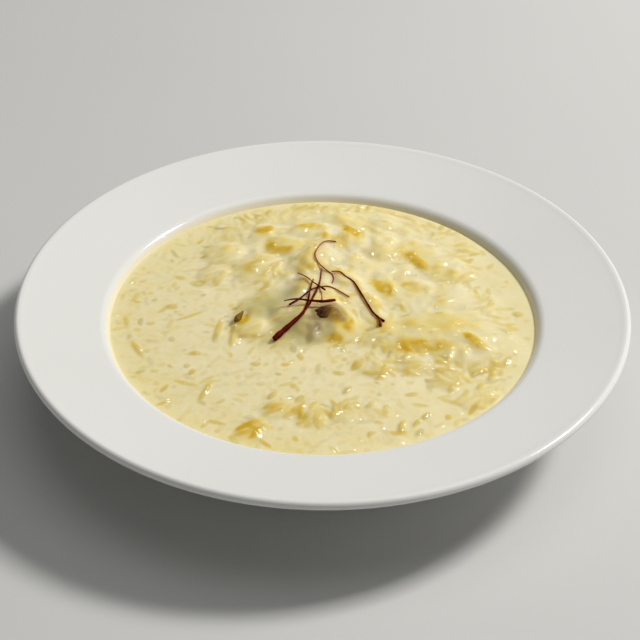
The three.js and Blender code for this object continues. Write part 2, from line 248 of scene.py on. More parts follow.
# Saffron threads: each branch is a route of [x, y, z, diameter] along the middle of the stigma.
SAFFRON = {
    "saffron_1": [
        [[-18.6, -19.1, 30.2, 2.5], [-15.5, -15.7, 31.3, 2.2], [-12.3, -12.4, 32.4, 1.8],
         [-8.6, -8.4, 33.7, 1.4], [-6.9, -5.2, 34.2, 1.1], [-5.7, 0.9, 34.3, 0.9],
         [-5.0, 8.4, 34.2, 0.8], [-3.8, 16.0, 33.8, 0.6]],
        [[-8.0, -7.6, 33.9, 0.7], [-5.5, -2.6, 34.3, 0.8], [-4.0, 2.3, 34.3, 0.8],
         [-2.3, 8.4, 34.2, 0.8], [-1.1, 15.7, 33.3, 0.7], [-0.5, 26.3, 31.8, 0.6]],
    ],
    "saffron_2": [
        [[-15.1, 0.1, 34.6, 0.5], [-10.8, 0.5, 35.2, 0.7], [-7.4, -0.4, 35.5, 0.9],
         [-4.1, -1.0, 35.5, 1.1], [0.2, -0.7, 35.0, 1.2], [5.0, 1.3, 34.2, 1.1]],
    ],
    "saffron_3": [
        [[-13.0, 0.1, 32.8, 1.0], [-9.2, 3.7, 33.0, 0.9], [-6.7, 7.1, 33.0, 0.8],
         [-4.5, 10.2, 32.9, 0.7], [-1.9, 11.7, 32.8, 0.65], [1.5, 12.5, 32.8, 0.6],
         [4.6, 11.6, 32.5, 0.55], [10.6, 6.8, 31.8, 0.5]],
        [[-1.3, 11.6, 32.8, 0.5], [-0.4, 6.4, 33.4, 0.4], [-0.1, 1.8, 33.3, 0.35]],
    ],
    "saffron_4": [
        [[-10.1, 22.1, 32.6, 0.5], [-6.8, 17.6, 34.0, 0.6], [-4.1, 13.2, 34.7, 0.6],
         [-1.9, 10.1, 35.1, 0.7], [1.1, 7.8, 34.4, 0.8]],
    ],
    "saffron_5": [
        [[5.4, 46.0, 32.0, 0.7], [2.0, 46.0, 32.3, 0.6], [-0.3, 44.0, 32.6, 0.5],
         [-2.5, 38.6, 33.0, 0.5], [-3.2, 34.3, 33.2, 0.55], [-2.0, 29.3, 33.2, 0.55],
         [-0.2, 26.1, 33.0, 0.6], [2.0, 23.3, 32.8, 0.6], [3.7, 21.4, 32.5, 0.6],
         [4.4, 18.9, 32.2, 0.6], [3.7, 15.8, 31.9, 0.5]],
    ],
    "saffron_6": [
        [[3.6, 22.2, 33.4, 0.5], [6.8, 22.1, 33.4, 0.55], [9.4, 19.3, 33.0, 0.6],
         [12.5, 16.4, 32.4, 0.7], [15.0, 10.5, 31.8, 0.75], [17.5, 3.7, 31.4, 0.8],
         [19.9, -2.4, 31.1, 0.9], [22.3, -6.6, 31.1, 1.1], [22.6, -11.2, 31.4, 1.6]],
        [[21.4, -5.1, 31.1, 0.7], [22.5, -6.5, 31.1, 0.9], [24.2, -8.3, 31.1, 0.9]],
    ],
}
UPPER_THREADS = ("saffron_2", "saffron_4")  # these lie across the others, not on the pudding

# Fruit and spice: centre, half sizes, turn in degrees.
RAISIN_DARK = {"at": (1.6, -4.2, 31.6), "half": (5.9, 4.1, 2.4), "turn": -6}
RAISIN_GOLDEN = {"at": (57.8, -18.3, 30.2), "half": (5.4, 3.1, 0.9), "turn": -45}
CARDAMOM_POD = {"at": (-32.6, -4.1, 30.1), "half": (4.0, 1.75, 1.6), "turn": 67}

# ---------------- looks

# Deep yellow hollows where rice shows through, gold partly painted shade: x, y, half length, half width,
# turn, strength.
GOLD_AND_SHADE_HOLLOWS = [
    [-24.8, 58.2, 3.6, 2.6, 30, 1.0],
    [-22, 44.8, 4.5, 1.8, -80, 0.8],
    [-18.2, 40.7, 4.6, 1.8, 4, 0.9],
    [-4.6, 59.0, 5, 2.5, -15, 0.6],
    [3.2, 50.6, 5, 2.2, -21, 0.7],
    [12.4, 55.0, 6.0, 2.2, -53, 1.0],
    [7.8, 44.9, 4, 2, -69, 0.5],
    [20, 58.7, 4, 2.6, -79, 0.4],
    [37.9, 35.3, 7, 2.4, -49, 1.0],
    [51.5, 27.9, 6.5, 3, -13, 0.45],
    [48, 13.8, 7, 1.8, -96, 0.35],
    [23.4, 15.8, 6.0, 2.6, -51, 1.05],
    [36.1, 16.4, 4, 2.4, -23, 0.6],
    [36.6, -22.5, 9, 2.8, 0, 1.15],
    [46.8, -20.8, 4.2, 2.0, -8, 0.7],
    [-14.7, -58.8, 4.5, 2, -8, 0.5],
    [-7.5, -63.6, 3.5, 2, -74, 0.5],
    [-0.6, -60.1, 4.6, 2, -87, 0.5],
    [-27, -70, 4, 3, 40, 0.9],
    [8.0, -7.4, 6.6, 2.7, -58, 1.0],
    [57.4, -17.6, 3.0, 1.7, -45, 1.5],
    [60.6, -21.6, 3.4, 1.8, -45, 0.6],
    [-31.2, -6.2, 2.4, 1.8, 60, 1.8],
    [4.4, -17.6, 3.4, 2.0, -12, 0.95],
    [-28.2, -11.9, 4.7, 4, -32, 0.35],
    [25.1, -33.3, 3, 2.5, -63, 0.4],
    [34.7, -34.4, 3.7, 2.5, 99, 0.4],
    [44.1, -32.5, 3.4, 2.5, -76, 0.4],
]

# Brown milk round the dark raisin, and painted shadow below it: x, y, half length, half width, turn,
# strength, softness.
BROWN_MILK_AND_SHADOW = [
    [2.2, -3.6, 8.0, 6.8, -10, 1.0, 0.7],
    [-4, -15.5, 6, 2.5, 70, 0.7, 1.0],
    [-4.5, -11.0, 10, 7, 10, 0.28, 0.7],
    [-1.2, -13.5, 6.5, 5.5, 10, 0.74, 0.7],
    [5.6, -5.2, 6.0, 3.0, -50, 0.95, 0.7],
]

# Brown shade without mottling, in the same form.
BROWN_SHADE = [
    [-25.5, 57.5, 3.5, 2.5, 0, 0.22, 0.7],
    [0.5, -17.5, 9, 3.5, 12, 0.26, 0.7],
    [36.4, -22.8, 8.0, 1.6, 0, 0.12, 0.7],
    [-3.2, -8.0, 4.5, 3.4, 20, 0.85, 0.7],
]

# Grey milk left of the dark raisin, and painted shadow below it, in the same form.
GREY_MILK_AND_SHADOW = [
    [-20, 5, 15, 10, 35, 1.0, 0.7],
    [-7, -12, 13, 10, 10, 0.95, 0.6],
]

# Colour of the pudding by how much rice shows through its film of milk, from none to bare; the gold also
# carries painted shade.
CREAM_COLOUR = (0.89, 0.81, 0.555, 1)
MILK_COLOUR = (0.86, 0.765, 0.467, 1)
RICE_COLOUR = (0.82, 0.68, 0.27, 1)
GOLD_COLOUR = (0.78, 0.56, 0.11, 1)
DEEP_GOLD_COLOUR = (0.74, 0.47, 0.035, 1)
VEIL_COLOUR = (0.465, 0.415, 0.19, 1)
BROWN_COLOUR = (0.17, 0.085, 0.015, 1)
STAIN_COLOUR = (0.62, 0.20, 0.10, 1)

BARE_CLAY_COLOUR = (0.66, 0.62, 0.55, 1)  # where the foot ring is not glazed

# Pairs of colours; the surface wanders from one to the other.
GLAZE_COLOURS = (0.80, 0.80, 0.775, 1), (0.83, 0.83, 0.81, 1)
GRAIN_COLOURS = (0.78, 0.58, 0.16, 1), (0.84, 0.70, 0.34, 1)
CRIMSON_COLOURS = (0.060, 0.002, 0.001, 1), (0.14, 0.008, 0.002, 1)
STYLE_COLOURS = (0.34, 0.12, 0.004, 1), (0.50, 0.24, 0.012, 1)
FLOOR_COLOURS = (0.60, 0.60, 0.59, 1), (0.63, 0.63, 0.62, 1)

# Skins of fruit and spice: colour in the creases, darkened as painted shade, on the ridges and at the far
# end.
DARK_SKIN = (0.045, 0.014, 0.004, 1), (0.095, 0.034, 0.007, 1), (0.20, 0.10, 0.008, 1)
GOLDEN_SKIN = (0.58, 0.29, 0.010, 1), (0.74, 0.44, 0.025, 1), (0.82, 0.56, 0.08, 1)
HUSK_SKIN = (0.14, 0.062, 0.002, 1), (0.26, 0.135, 0.004, 1), (0.22, 0.11, 0.006, 1)

# Noise of the wet film: its scale per metre and its detail.
RIPPLES = (225.0, 0.6)
DROPS = (160.0, 2.0)
TOWARDS_LIGHT_M = (0.0006, -0.00054, 0.0)  # a step in the noise that tells which way a ripple slopes


def smoothstep(value):
    value = np.clip(value, 0, 1)
    return value * value * (3 - 2 * value)


def along_and_across(dx, dy, angle):
    """An offset measured along and across a direction."""
    return dx * math.cos(angle) + dy * math.sin(angle), dy * math.cos(angle) - dx * math.sin(angle)


def ring_faces(rings, sides, reverse=False):
    """Quads between rings of vertices, and fans to the two poles that follow the rings in the mesh."""
    here = np.arange(sides)
    after = (here + 1) % sides
    rows = np.arange(rings - 1)[:, None] * sides
    quads = np.stack([rows + here, rows + after, rows + sides + after, rows + sides + here], axis=-1)
    pole = np.full(sides, rings * sides)
    last = (rings - 1) * sides
    fans = np.vstack([
        np.column_stack([pole, after, here]),
        np.column_stack([pole + 1, last + here, last + after]),
    ])
    if reverse:
        return quads.reshape(-1, 4)[:, [0, 3, 2, 1]], fans[:, [0, 2, 1]]
    return quads.reshape(-1, 4), fans


def mesh_object(name, points, *face_groups):
    """A smooth mesh from points in millimetres and arrays of corner indices."""
    mesh = bpy.data.meshes.new(name)
    faces = [face for group in face_groups for face in group.tolist()]
    mesh.from_pydata((np.asarray(points) * MM).tolist(), [], faces)
    mesh.validate()
    mesh.polygons.foreach_set("use_smooth", [True] * len(mesh.polygons))
    piece = bpy.data.objects.new(name, mesh)
    bpy.context.scene.collection.objects.link(piece)
    return piece


def store(piece, name, *columns):
    """Numbers at each vertex, which the material reads as Red, Green, Blue and Alpha of this name."""
    values = np.ones((len(piece.data.vertices), 4), dtype=np.float32)
    for k, column in enumerate(columns):
        values[:, k] = column
    layer = piece.data.color_attributes.new(name, "FLOAT_COLOR", "POINT")
    layer.data.foreach_set("color", values.ravel())


def dress(piece, material, slot, *nodes):
    """Gives a piece its material and its place on the part."""
    piece.data.materials.clear()
    piece.data.materials.append(material)
    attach(piece, "root")
    if nodes:
        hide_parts(*nodes)


class Shader:
    """A short way to write a material's nodes; the positions that nodes read are in metres."""

    MIX_SOCKETS = {"RGBA": (6, 7, 2), "FLOAT": (2, 3, 0)}  # the two inputs and the output of a Mix node

    def __init__(self, name):
        self.material = bpy.data.materials.new(name)
        self.material.use_nodes = True
        self.tree = self.material.node_tree
        self.surface = self.tree.nodes["Principled BSDF"]

    def put(self, socket, value):
        if isinstance(value, bpy.types.NodeSocket):
            self.tree.links.new(value, socket)
        else:
            socket.default_value = value

    def fill(self, node, inputs):
        for key, value in inputs.items():
            self.put(node.inputs[key.replace("_", " ")], value)
        return node

    def node(self, kind, **inputs):
        return self.fill(self.tree.nodes.new(kind), inputs)

    def set(self, **inputs):
        """Inputs of the surface by name."""
        self.fill(self.surface, inputs)

    def place(self):
        """Position on the part, the same in every view."""
        return self.node("ShaderNodeTexCoord").outputs["Object"]

    def noise(self, scale, detail, vector=None):
        """Clouds between 0 and 1, with about this many to the metre."""
        made = self.node("ShaderNodeTexNoise", Scale=scale, Detail=detail, Vector=vector or self.place())
        return made.outputs["Fac"]

    def ramp(self, value, low, high, out_low=0.0, out_high=1.0):
        made = self.node("ShaderNodeMapRange", Value=value, From_Min=low, From_Max=high,
                         To_Min=out_low, To_Max=out_high)
        return made.outputs["Result"]

    def fade(self, length, start, end, before=1.0, after=0.0):
        """A ramp over a length in metres, with its start and end in millimetres."""
        return self.ramp(length, start * MM, end * MM, before, after)

    def varied(self, scale, detail, low=0.0, high=1.0):
        """A number that wanders over the surface between two values."""
        return self.ramp(self.noise(scale, detail), 0.3, 0.7, low, high)

    def mix(self, share, first, second, kind="RGBA"):
        """A blend of two colours, or of two numbers if the kind is FLOAT."""
        made = self.node("ShaderNodeMix", Factor=share)
        made.data_type = kind
        first_input, second_input, output = self.MIX_SOCKETS[kind]
        self.put(made.inputs[first_input], first)
        self.put(made.inputs[second_input], second)
        return made.outputs[output]

    def colour_ramp(self, value, stops):
        made = self.node("ShaderNodeValToRGB", Fac=value)
        elements = made.color_ramp.elements
        elements[0].position, elements[0].color = stops[0]
        elements[1].position, elements[1].color = stops[-1]
        for position, colour in stops[1:-1]:
            elements.new(position).color = colour
        return made.outputs["Color"]

    def maths(self, operation, first, second):
        made = self.node("ShaderNodeMath")
        made.operation = operation
        self.put(made.inputs[0], first)
        self.put(made.inputs[1], second)
        return made.outputs["Value"]

    def times(self, product, *factors):
        for factor in factors:
            product = self.maths("MULTIPLY", product, factor)
        return product

    def stored(self, name):
        """The four numbers that lie at the vertices under a name."""
        made = self.node("ShaderNodeAttribute")
        made.attribute_name = name
        parts = self.node("ShaderNodeSeparateColor", Color=made.outputs["Color"]).outputs
        return parts["Red"], parts["Green"], parts["Blue"], made.outputs["Alpha"]

    def split(self, vector):
        """X, Y and Z of a position or a direction."""
        return self.node("ShaderNodeSeparateXYZ", Vector=vector).outputs

    def leaning(self):
        """How far the surface leans to the right, where the key light comes from."""
        return self.split(self.node("ShaderNodeNewGeometry").outputs["Normal"])["X"]

    def radius(self, where):
        """Distance from the plate's axis."""
        squares = self.maths("ADD", self.times(where["X"], where["X"]), self.times(where["Y"], where["Y"]))
        return self.maths("SQRT", squares, 0.0)

    def bump(self, height, strength, depth, *layers):
        made = self.node("ShaderNodeBump", Strength=strength, Distance=depth * MM, Height=height)
        for layer in layers or ("Normal", "Coat Normal"):
            self.put(self.surface.inputs[layer], made.outputs["Normal"])


# ---------------- plate

RIM_THINNING = 0.6  # how much thinner the rim is at its lip than at the well
RIM_UNDER_START = 94  # radius where the underside of the rim leaves the round below it
FOOT_SOFTNESS = 0.8
PLATE_SEGMENTS = 288


def arc(centre, radius, start, end, steps):
    """Points on a round between two directions in degrees."""
    angles = np.radians(np.linspace(start, end, steps + 1))
    return [(centre[0] + radius * math.cos(a), centre[1] + radius * math.sin(a)) for a in angles]


def well_rounds():
    """Centres of the two rounds inside the well, from the slopes that they join."""
    slope = math.radians(WALL_SLOPE)
    outwards = np.array([math.sin(slope), -math.cos(slope)])
    corner = np.array([WELL_FLAT_RADIUS, WELL_FLOOR + WELL_CORNER_RADIUS])
    start = corner + WELL_CORNER_RADIUS * outwards
    top = np.array([start[0] + (WALL_TOP - start[1]) / math.tan(slope), WALL_TOP])
    return corner, top + EDGE_RADIUS * outwards


def softened(points, radius, steps=5):
    """A polyline with each inner corner rounded by a short curve."""
    points = np.array(points, dtype=float)
    out = [points[0]]
    for before, at, after in zip(points, points[1:], points[2:]):
        back, ahead = before - at, after - at
        cut = min(radius, 0.45 * np.linalg.norm(back), 0.45 * np.linalg.norm(ahead))
        a = at + back / np.linalg.norm(back) * cut
        b = at + ahead / np.linalg.norm(ahead) * cut
        out += [(1 - t) ** 2 * a + 2 * t * (1 - t) * at + t * t * b for t in np.linspace(0, 1, steps)]
    return [*out, points[-1]]


def plate_profile():
    """Half of the plate's section, from the middle underneath round the lip to the middle of the well."""
    corner, edge = well_rounds()
    lip = (PLATE_RADIUS - LIP_RADIUS, PLATE_HEIGHT - LIP_RADIUS)
    inner = arc(edge, EDGE_RADIUS, 90 + WALL_SLOPE, 90 + RIM_SLOPE, 14)
    start = inner[-1]

    def rim(r):
        out = r - start[0]
        return start[1] + math.tan(math.radians(RIM_SLOPE)) * out + RIM_CURL * out ** 2

    def rim_under(r):
        return rim(r) - WALL + RIM_THINNING * (r - start[0]) / (lip[0] - start[0])

    under = (edge[0] + 0.6 * UNDER_ROUND, edge[1] - 0.9 * UNDER_ROUND)
    foot = softened([
        (0, FOOT_RECESS),
        (FOOT_INNER - 2, FOOT_RECESS),
        (FOOT_INNER, FOOT_RECESS - 0.8),
        (FOOT_INNER + 0.9, 0),
        (FOOT_OUTER - 1.9, 0),
        (FOOT_OUTER - 0.8, 1),
        (FOOT_OUTER, FOOT_RECESS + 1),
        (FOOT_OUTER + 4, FOOT_RECESS + 1.8),
    ], FOOT_SOFTNESS)[:-1]
    return [
        *foot,
        *arc(corner, WELL_CORNER_RADIUS + WALL, -70, -90 + WALL_SLOPE, 10),
        *arc(under, UNDER_ROUND, 90 + WALL_SLOPE - 8, 90 + RIM_SLOPE + 2, 10),
        *[(r, rim_under(r)) for r in np.linspace(RIM_UNDER_START, PLATE_RADIUS - 4, 9)],
        *arc(lip, LIP_RADIUS, -70, 90, 16),
        *[(r, rim(r)) for r in np.linspace(PLATE_RADIUS - 3.2, start[0] + 2, 14)],
        *inner[::-1],
        *arc(corner, WELL_CORNER_RADIUS, -90 + WALL_SLOPE, -90, 10),
        (0, WELL_FLOOR),
    ]


def turned(name, profile, segments):
    """A solid of revolution about +Z; the profile starts and ends on the axis."""
    rings = np.array(profile[1:-1])
    angles = 2 * math.pi * np.arange(segments) / segments
    radius, height = rings[:, :1], np.repeat(rings[:, 1:], segments, axis=1)
    points = np.stack([radius * np.cos(angles), radius * np.sin(angles), height], axis=-1).reshape(-1, 3)
    points = np.vstack([points, [0, 0, profile[0][1]], [0, 0, profile[-1][1]]])
    return mesh_object(name, points, *ring_faces(len(rings), segments))


def porcelain():
    look = Shader("glazed white porcelain")
    where = look.split(look.place())
    # The bottom of the foot ring is wiped free of glaze: a rougher, warmer band.
    bare = look.fade(where["Z"], 0.3, 0.8)
    grit = look.ramp(look.noise(2400.0, 2.0), 0.35, 0.65, 0.55, 0.75)
    # A film of milk is left on the inside of the wall, just over the pudding; its cream also paints the warm
    # light that the milk throws on the wall, a painted reflection.
    inside = look.times(look.fade(look.radius(where), MILK_RADIUS + 2.1, MILK_RADIUS + 3.1),
                        look.fade(where["Z"], MILK_LEVEL - 3.5, MILK_LEVEL - 2.5, 0.0, 1.0))
    edge = look.maths("ADD", where["Z"], look.varied(90.0, 3.0, -0.3 * MM, 0.3 * MM))
    film = look.times(look.fade(edge, MILK_LEVEL - 0.8, MILK_LEVEL + 2, 0.95), inside)
    filmed_and_painted_bounce = look.mix(film, look.mix(look.varied(9.0, 2.0), *GLAZE_COLOURS), CREAM_COLOUR)
    look.set(
        Base_Color=look.mix(bare, filmed_and_painted_bounce, BARE_CLAY_COLOUR),
        Roughness=look.mix(bare, look.varied(30.0, 3.0, 0.10, 0.15), grit, "FLOAT"),
        IOR=1.5,
        Subsurface_Weight=0.12,
        Subsurface_Radius=(1.0, 0.9, 0.8),
        Subsurface_Scale=2 * MM,
    )
    look.bump(look.noise(55.0, 2.0), 0.06, 0.6)
    return look.material


# ---------------- the pudding's surface

RASTER_PITCH = 0.36
RASTER_HALF = 86.4
AXIS = np.arange(-RASTER_HALF, RASTER_HALF + 1e-6, RASTER_PITCH)
GRID_X, GRID_Y = np.meshgrid(AXIS, AXIS)
SURFACE_CELLS = 298  # along each side of the pudding's mesh
SWELL_HEIGHT = 0.9  # of the stated heights of swells
CLOT_HEIGHT = 0.82  # the same for lumps and folds
RAISIN_HOLLOW = [1.6, -4.6, 9, 6.5, 0, 1.1]  # it holds the dark raisin; in the form of LUMPS
SMALL_CLOTS = 900
SAG_START = 35  # distance from the middle where the milk begins to sag
BED_LOW, LIMIT_HIGH = -4.0, 9.0  # of the threads' bed and of the limit under them, far from a thread
MELT = 3.2  # per mm: how sharply grains stand out of the milk that joins them
GRAIN_TRIES, GRAINS_MOST = 30000, 2600
GRAIN_CELL = 4  # of the table in which near grains are looked up
GRAIN_SPACING = 2.0
MORE_SPACING = 0.6  # between grains in the milk
GRAIN_POWER = 2.6  # of a grain's outline lengthwise; 2 would be an ellipse
ON_MOUND = 0.35  # share of the mound's height from which a grain counts as lying on the mound
RICE_MOST = 800  # real grains in each piece of rice
RICE_BACKS = {"rice_in_the_mound": (-0.26, 0.03), "rice_in_the_milk": (-0.14, 0.04)}  # over the surface
SIGHT_SHIFT = 1.34  # a lower grain keeps its place in the picture if it lies this much further back
REST = np.array([-0.85, -0.6, -0.3, 0, 0.3, 0.6, 0.85])  # where along a grain it is laid on the surface
MOTTLE_SEED = 5


def hump(row, power, x=GRID_X, y=GRID_Y):
    """Share of a hump's height left at a point: 1 in the middle, 0 from its rim outwards."""
    along, across = along_and_across(x - row[0], y - row[1], math.radians(row[4]))
    return np.maximum(0, 1 - (along / row[2]) ** 2 - (across / row[3]) ** 2) ** power


def strongest(rows):
    """The strongest of the listed patches at each place; each row ends with strength and softness."""
    return np.maximum.reduce([row[5] * hump(row, row[6]) for row in rows])


def spread_of(rows, grow, sharpness=2.0):
    """Share of each place that lies in the listed patches, with their sizes multiplied."""
    share = np.zeros(GRID_X.shape)
    for x, y, half_length, half_width, turn, strength in rows:
        patch = hump([x, y, half_length * grow, half_width * grow, turn], 1.0)
        share = np.maximum(share, strength * smoothstep(sharpness * patch))
    return share


def calm_share():
    """Where few grains and clots stand up: in the pools and in the golden hollows, whose gold is partly
    painted shade.
    """
    return np.maximum(spread_of(POOLS, 1.0), 0.95 * np.minimum(1, spread_of(GOLD_AND_SHADE_HOLLOWS, 1.4, 1.5)))


def swelling():
    """Height of the broad swells."""
    return np.cbrt(sum((row[5] * hump(row, 1.1)) ** 3 for row in SWELLS))


def lumps_raised(rows, share=lambda x, y: 1.0):
    """Fourth powers of the heights of lumps, added up, so that where lumps meet the higher one wins."""
    return sum((share(*row[:2]) * row[5] * hump(row, 0.8)) ** 4 for row in rows)


def fold(row):
    """Share of a fold's height left at each place: steep above its foot line, easing away behind."""
    x0, y0, x1, y1, depth = row[:5]
    length = math.hypot(x1 - x0, y1 - y0)
    ahead = ((GRID_X - x0) * (x1 - x0) + (GRID_Y - y0) * (y1 - y0)) / length ** 2
    behind = ((GRID_Y - y0) * (x1 - x0) - (GRID_X - x0) * (y1 - y0)) / length / depth
    ends = np.maximum(0, 1 - np.abs((ahead - 0.5) / 0.72) ** 2.4)
    return smoothstep(behind / 0.24) * np.maximum(0, 1 - behind) ** 0.9 * np.sqrt(ends)


def blurred(field, sigma):
    """Gaussian blur of a raster; sigma in millimetres."""
    half = max(1, int(3 * sigma / RASTER_PITCH))
    steps = np.arange(-half, half + 1) * RASTER_PITCH
    weights = np.exp(-0.5 * (steps / sigma) ** 2)
    weights /= weights.sum()
    padded = np.pad(field, half, mode="edge")
    rows = sum(w * padded[i:i + field.shape[0], :] for i, w in enumerate(weights))
    return sum(w * rows[:, i:i + field.shape[1]] for i, w in enumerate(weights))


def cloudy(scale, rng):
    """Smooth seeded noise over the raster, about -1 to 1, with features of the given size."""
    field = blurred(rng.standard_normal(GRID_X.shape), scale)
    return field / (2.2 * field.std())


def sample(field, x, y):
    """Bilinear reading of a raster at points in millimetres."""
    u, v = (np.clip((np.asarray(at) + RASTER_HALF) / RASTER_PITCH, 0, len(AXIS) - 1.001) for at in (x, y))
    i, j = u.astype(int), v.astype(int)
    fu, fv = u - i, v - j
    low = field[j, i] * (1 - fu) + field[j, i + 1] * fu
    high = field[j + 1, i] * (1 - fu) + field[j + 1, i + 1] * fu
    return low * (1 - fv) + high * fv


def stamp_window(x, y, azimuth, reach):
    """Raster slices round a place, and each cell's distance along and across a direction."""
    (i0, i1), (j0, j1) = (
        np.clip([(at - reach + RASTER_HALF) / RASTER_PITCH, (at + reach + RASTER_HALF) / RASTER_PITCH + 1],
                0, len(AXIS)).astype(int) for at in (x, y))
    window = (slice(j0, j1), slice(i0, i1))
    return window, *along_and_across(GRID_X[window] - x, GRID_Y[window] - y, azimuth)


def milk_sag(radius):
    """How far the milk at a distance from the middle has sagged."""
    return MILK_SAG * smoothstep((radius - SAG_START) / (MILK_RADIUS - SAG_START))


def random_place(radius, rng):
    """A seeded place on a disc."""
    r = radius * math.sqrt(rng.uniform())
    turn = rng.uniform(0, 2 * math.pi)
    return r * math.cos(turn), r * math.sin(turn)


def grain_direction(x, y, rng):
    """Azimuth of a grain: combed along the ridge, mostly front to back elsewhere on the mound."""
    if hump(RIDGE, 1.0, x, y) > 0.05:
        return math.radians(RIDGE[4] + 4 + rng.normal(0, 6))
    drift = 0.9 * math.sin(x / 13 + 1.3 * math.sin(y / 17)) + 0.5 * math.sin(y / 9)
    return math.radians(78) + drift + rng.normal(0, 0.45)


def mound_grain(x, y, rng):
    """Azimuth, half length, half width, height of the top, tint and greyness of a grain on the mound."""
    azimuth = grain_direction(x, y, rng)
    top = rng.uniform(0.2, 0.6) if rng.uniform() < 0.18 else rng.uniform(-0.8, 0.2)
    return azimuth, rng.uniform(2.6, 4.4), rng.uniform(0.95, 1.3), top, rng.uniform(0.3, 1), 0.0


def milk_grain(rng):
    """The same for a grain in the milk; the short ones are tilted, so that only an end shows."""
    tilted = rng.uniform() < 0.6
    half_length = rng.uniform(1.1, 2.0) if tilted else rng.uniform(2.0, 3.6)
    top = rng.triangular(-1.3, -0.35, 0.12)
    return (rng.uniform(0, math.pi), half_length, rng.uniform(0.8, 1.3), top,
            rng.uniform(0.05, 1.0) ** 1.5, float(rng.uniform() < 0.35))


def scatter_grains(calm, rng):
    """Grains: x, y, azimuth, half length, half width, height of the top, tint, greyness, bend, heap."""
    rows = []
    taken = {}
    mound = swelling() + lumps_raised(LUMPS) ** 0.25

    def crowded(x, y, spacing):
        cell = (int(x // GRAIN_CELL), int(y // GRAIN_CELL))
        near = (p for i in (-1, 0, 1) for j in (-1, 0, 1) for p in taken.get((cell[0] + i, cell[1] + j), ()))
        return any((p[0] - x) ** 2 + (p[1] - y) ** 2 < spacing ** 2 for p in near)

    def settle(x, y, grain, heaped):
        taken.setdefault((int(x // GRAIN_CELL), int(y // GRAIN_CELL)), []).append((x, y))
        rows.append([x, y, *grain, rng.normal(0, 0.3), heaped])

    for x, y, half_length, half_width, turn, top in NOTED_GRAINS:
        further = SIGHT_SHIFT * milk_sag(math.hypot(x, y))
        settle(x, y + further, (math.radians(turn), half_length, half_width, top, 0.75, 0.0), 0.0)
    for _ in range(GRAIN_TRIES):
        if len(rows) >= GRAINS_MOST:
            break
        x, y = random_place(MILK_RADIUS - 2.5, rng)
        heaped = min(1.0, float(sample(mound, x, y)) / 1.2)
        chance = (0.45 + 0.55 * heaped) * (1 - 0.9 * float(sample(calm, x, y)))
        if rng.uniform() > chance or crowded(x, y, GRAIN_SPACING + MORE_SPACING * (1 - heaped)):
            continue
        settle(x, y, mound_grain(x, y, rng) if heaped > ON_MOUND else milk_grain(rng), heaped)
    return np.array(rows)


def points_on_threads(steps=None):
    """Thread names with places and diameters along their branches."""
    for name, branches in SAFFRON.items():
        for route in branches:
            for (x, y, z), width in zip(*strand_points(route, steps or 12 * len(route))):
                yield name, x, y, z, width


def threads_bed():
    """The soft rise that the saffron rests on, and the height that the pudding keeps below it."""
    bed = np.full(GRID_X.shape, BED_LOW)
    limit = np.full(GRID_X.shape, LIMIT_HIGH)
    for name, x, y, z, width in points_on_threads():
        window, along, across = stamp_window(x, y, 0, 10)
        under, away = z - width / 2 - MILK_LEVEL, along ** 2 + across ** 2
        limit[window] = np.minimum(limit[window], under - 0.1 + away / 3)
        if name not in UPPER_THREADS:
            bed[window] = np.maximum(bed[window], under - 0.3 - away / 30)
    return blurred(bed, 0.8), blurred(limit, 0.5)


def saffron_stain():
    """Where the threads have bled into the milk."""
    stain = np.zeros(GRID_X.shape)
    for _, x, y, _, _ in points_on_threads(50):
        window, along, across = stamp_window(x, y, 0, 4)
        near = np.exp(-(along ** 2 + across ** 2) / 1.3 ** 2)
        stain[window] = np.maximum(stain[window], near)
    return stain


def settle_round(ground, item, eye, bare, covered, hollow):
    """Lays a film of pudding over a piece but for an eye: its shift to -X, half length and half width."""
    (x, y, z), (half_length, half_width, half_height) = item["at"], item["half"]
    along, across = along_and_across(GRID_X - x, GRID_Y - y, math.radians(item["turn"]))
    reach = np.hypot(along / half_length, across / half_width)
    back = half_height * np.sqrt(np.maximum(0, 1 - reach ** 2))
    skin = z - MILK_LEVEL + back - np.maximum(0, reach - 1) * 1.2
    opened = smoothstep((1 - np.hypot((along + eye[0]) / eye[1], across / eye[2])) / 0.35)
    film = np.maximum(skin + covered - (bare + covered) * opened, ground - hollow)
    return ground + smoothstep((1.7 - reach) / 0.8) * (film - ground)


def joined(first, second, sharpness):
    """The higher of two heights, with a soft join."""
    return np.log(np.exp(sharpness * first) + np.exp(sharpness * second)) / sharpness


def standing_share(x, y):
    """Clots stand highest on the left and at the back; in front and on the right they have sunk."""
    return 0.52 if y < -26 else 1.0 - 0.50 * float(smoothstep(x / 45))


def small_clots(rng):
    """Heights of seeded small clots, to the third power, so that where clots meet the higher one wins."""
    raised = np.zeros(GRID_X.shape)
    for _ in range(SMALL_CLOTS):
        x, y = random_place(MILK_RADIUS - 6, rng)
        half_length, half_width = rng.uniform(3.0, 6.5), rng.uniform(1.2, 2.4)
        window, along, across = stamp_window(x, y, grain_direction(x, y, rng), half_length + 1)
        across = across - rng.normal(0, 0.5) * (along / half_length) ** 2
        shape = np.maximum(0, 1 - (along / half_length) ** 2 - (across / half_width) ** 2)
        raised[window] += (rng.uniform(0.25, 0.68) * shape) ** 3
    return raised


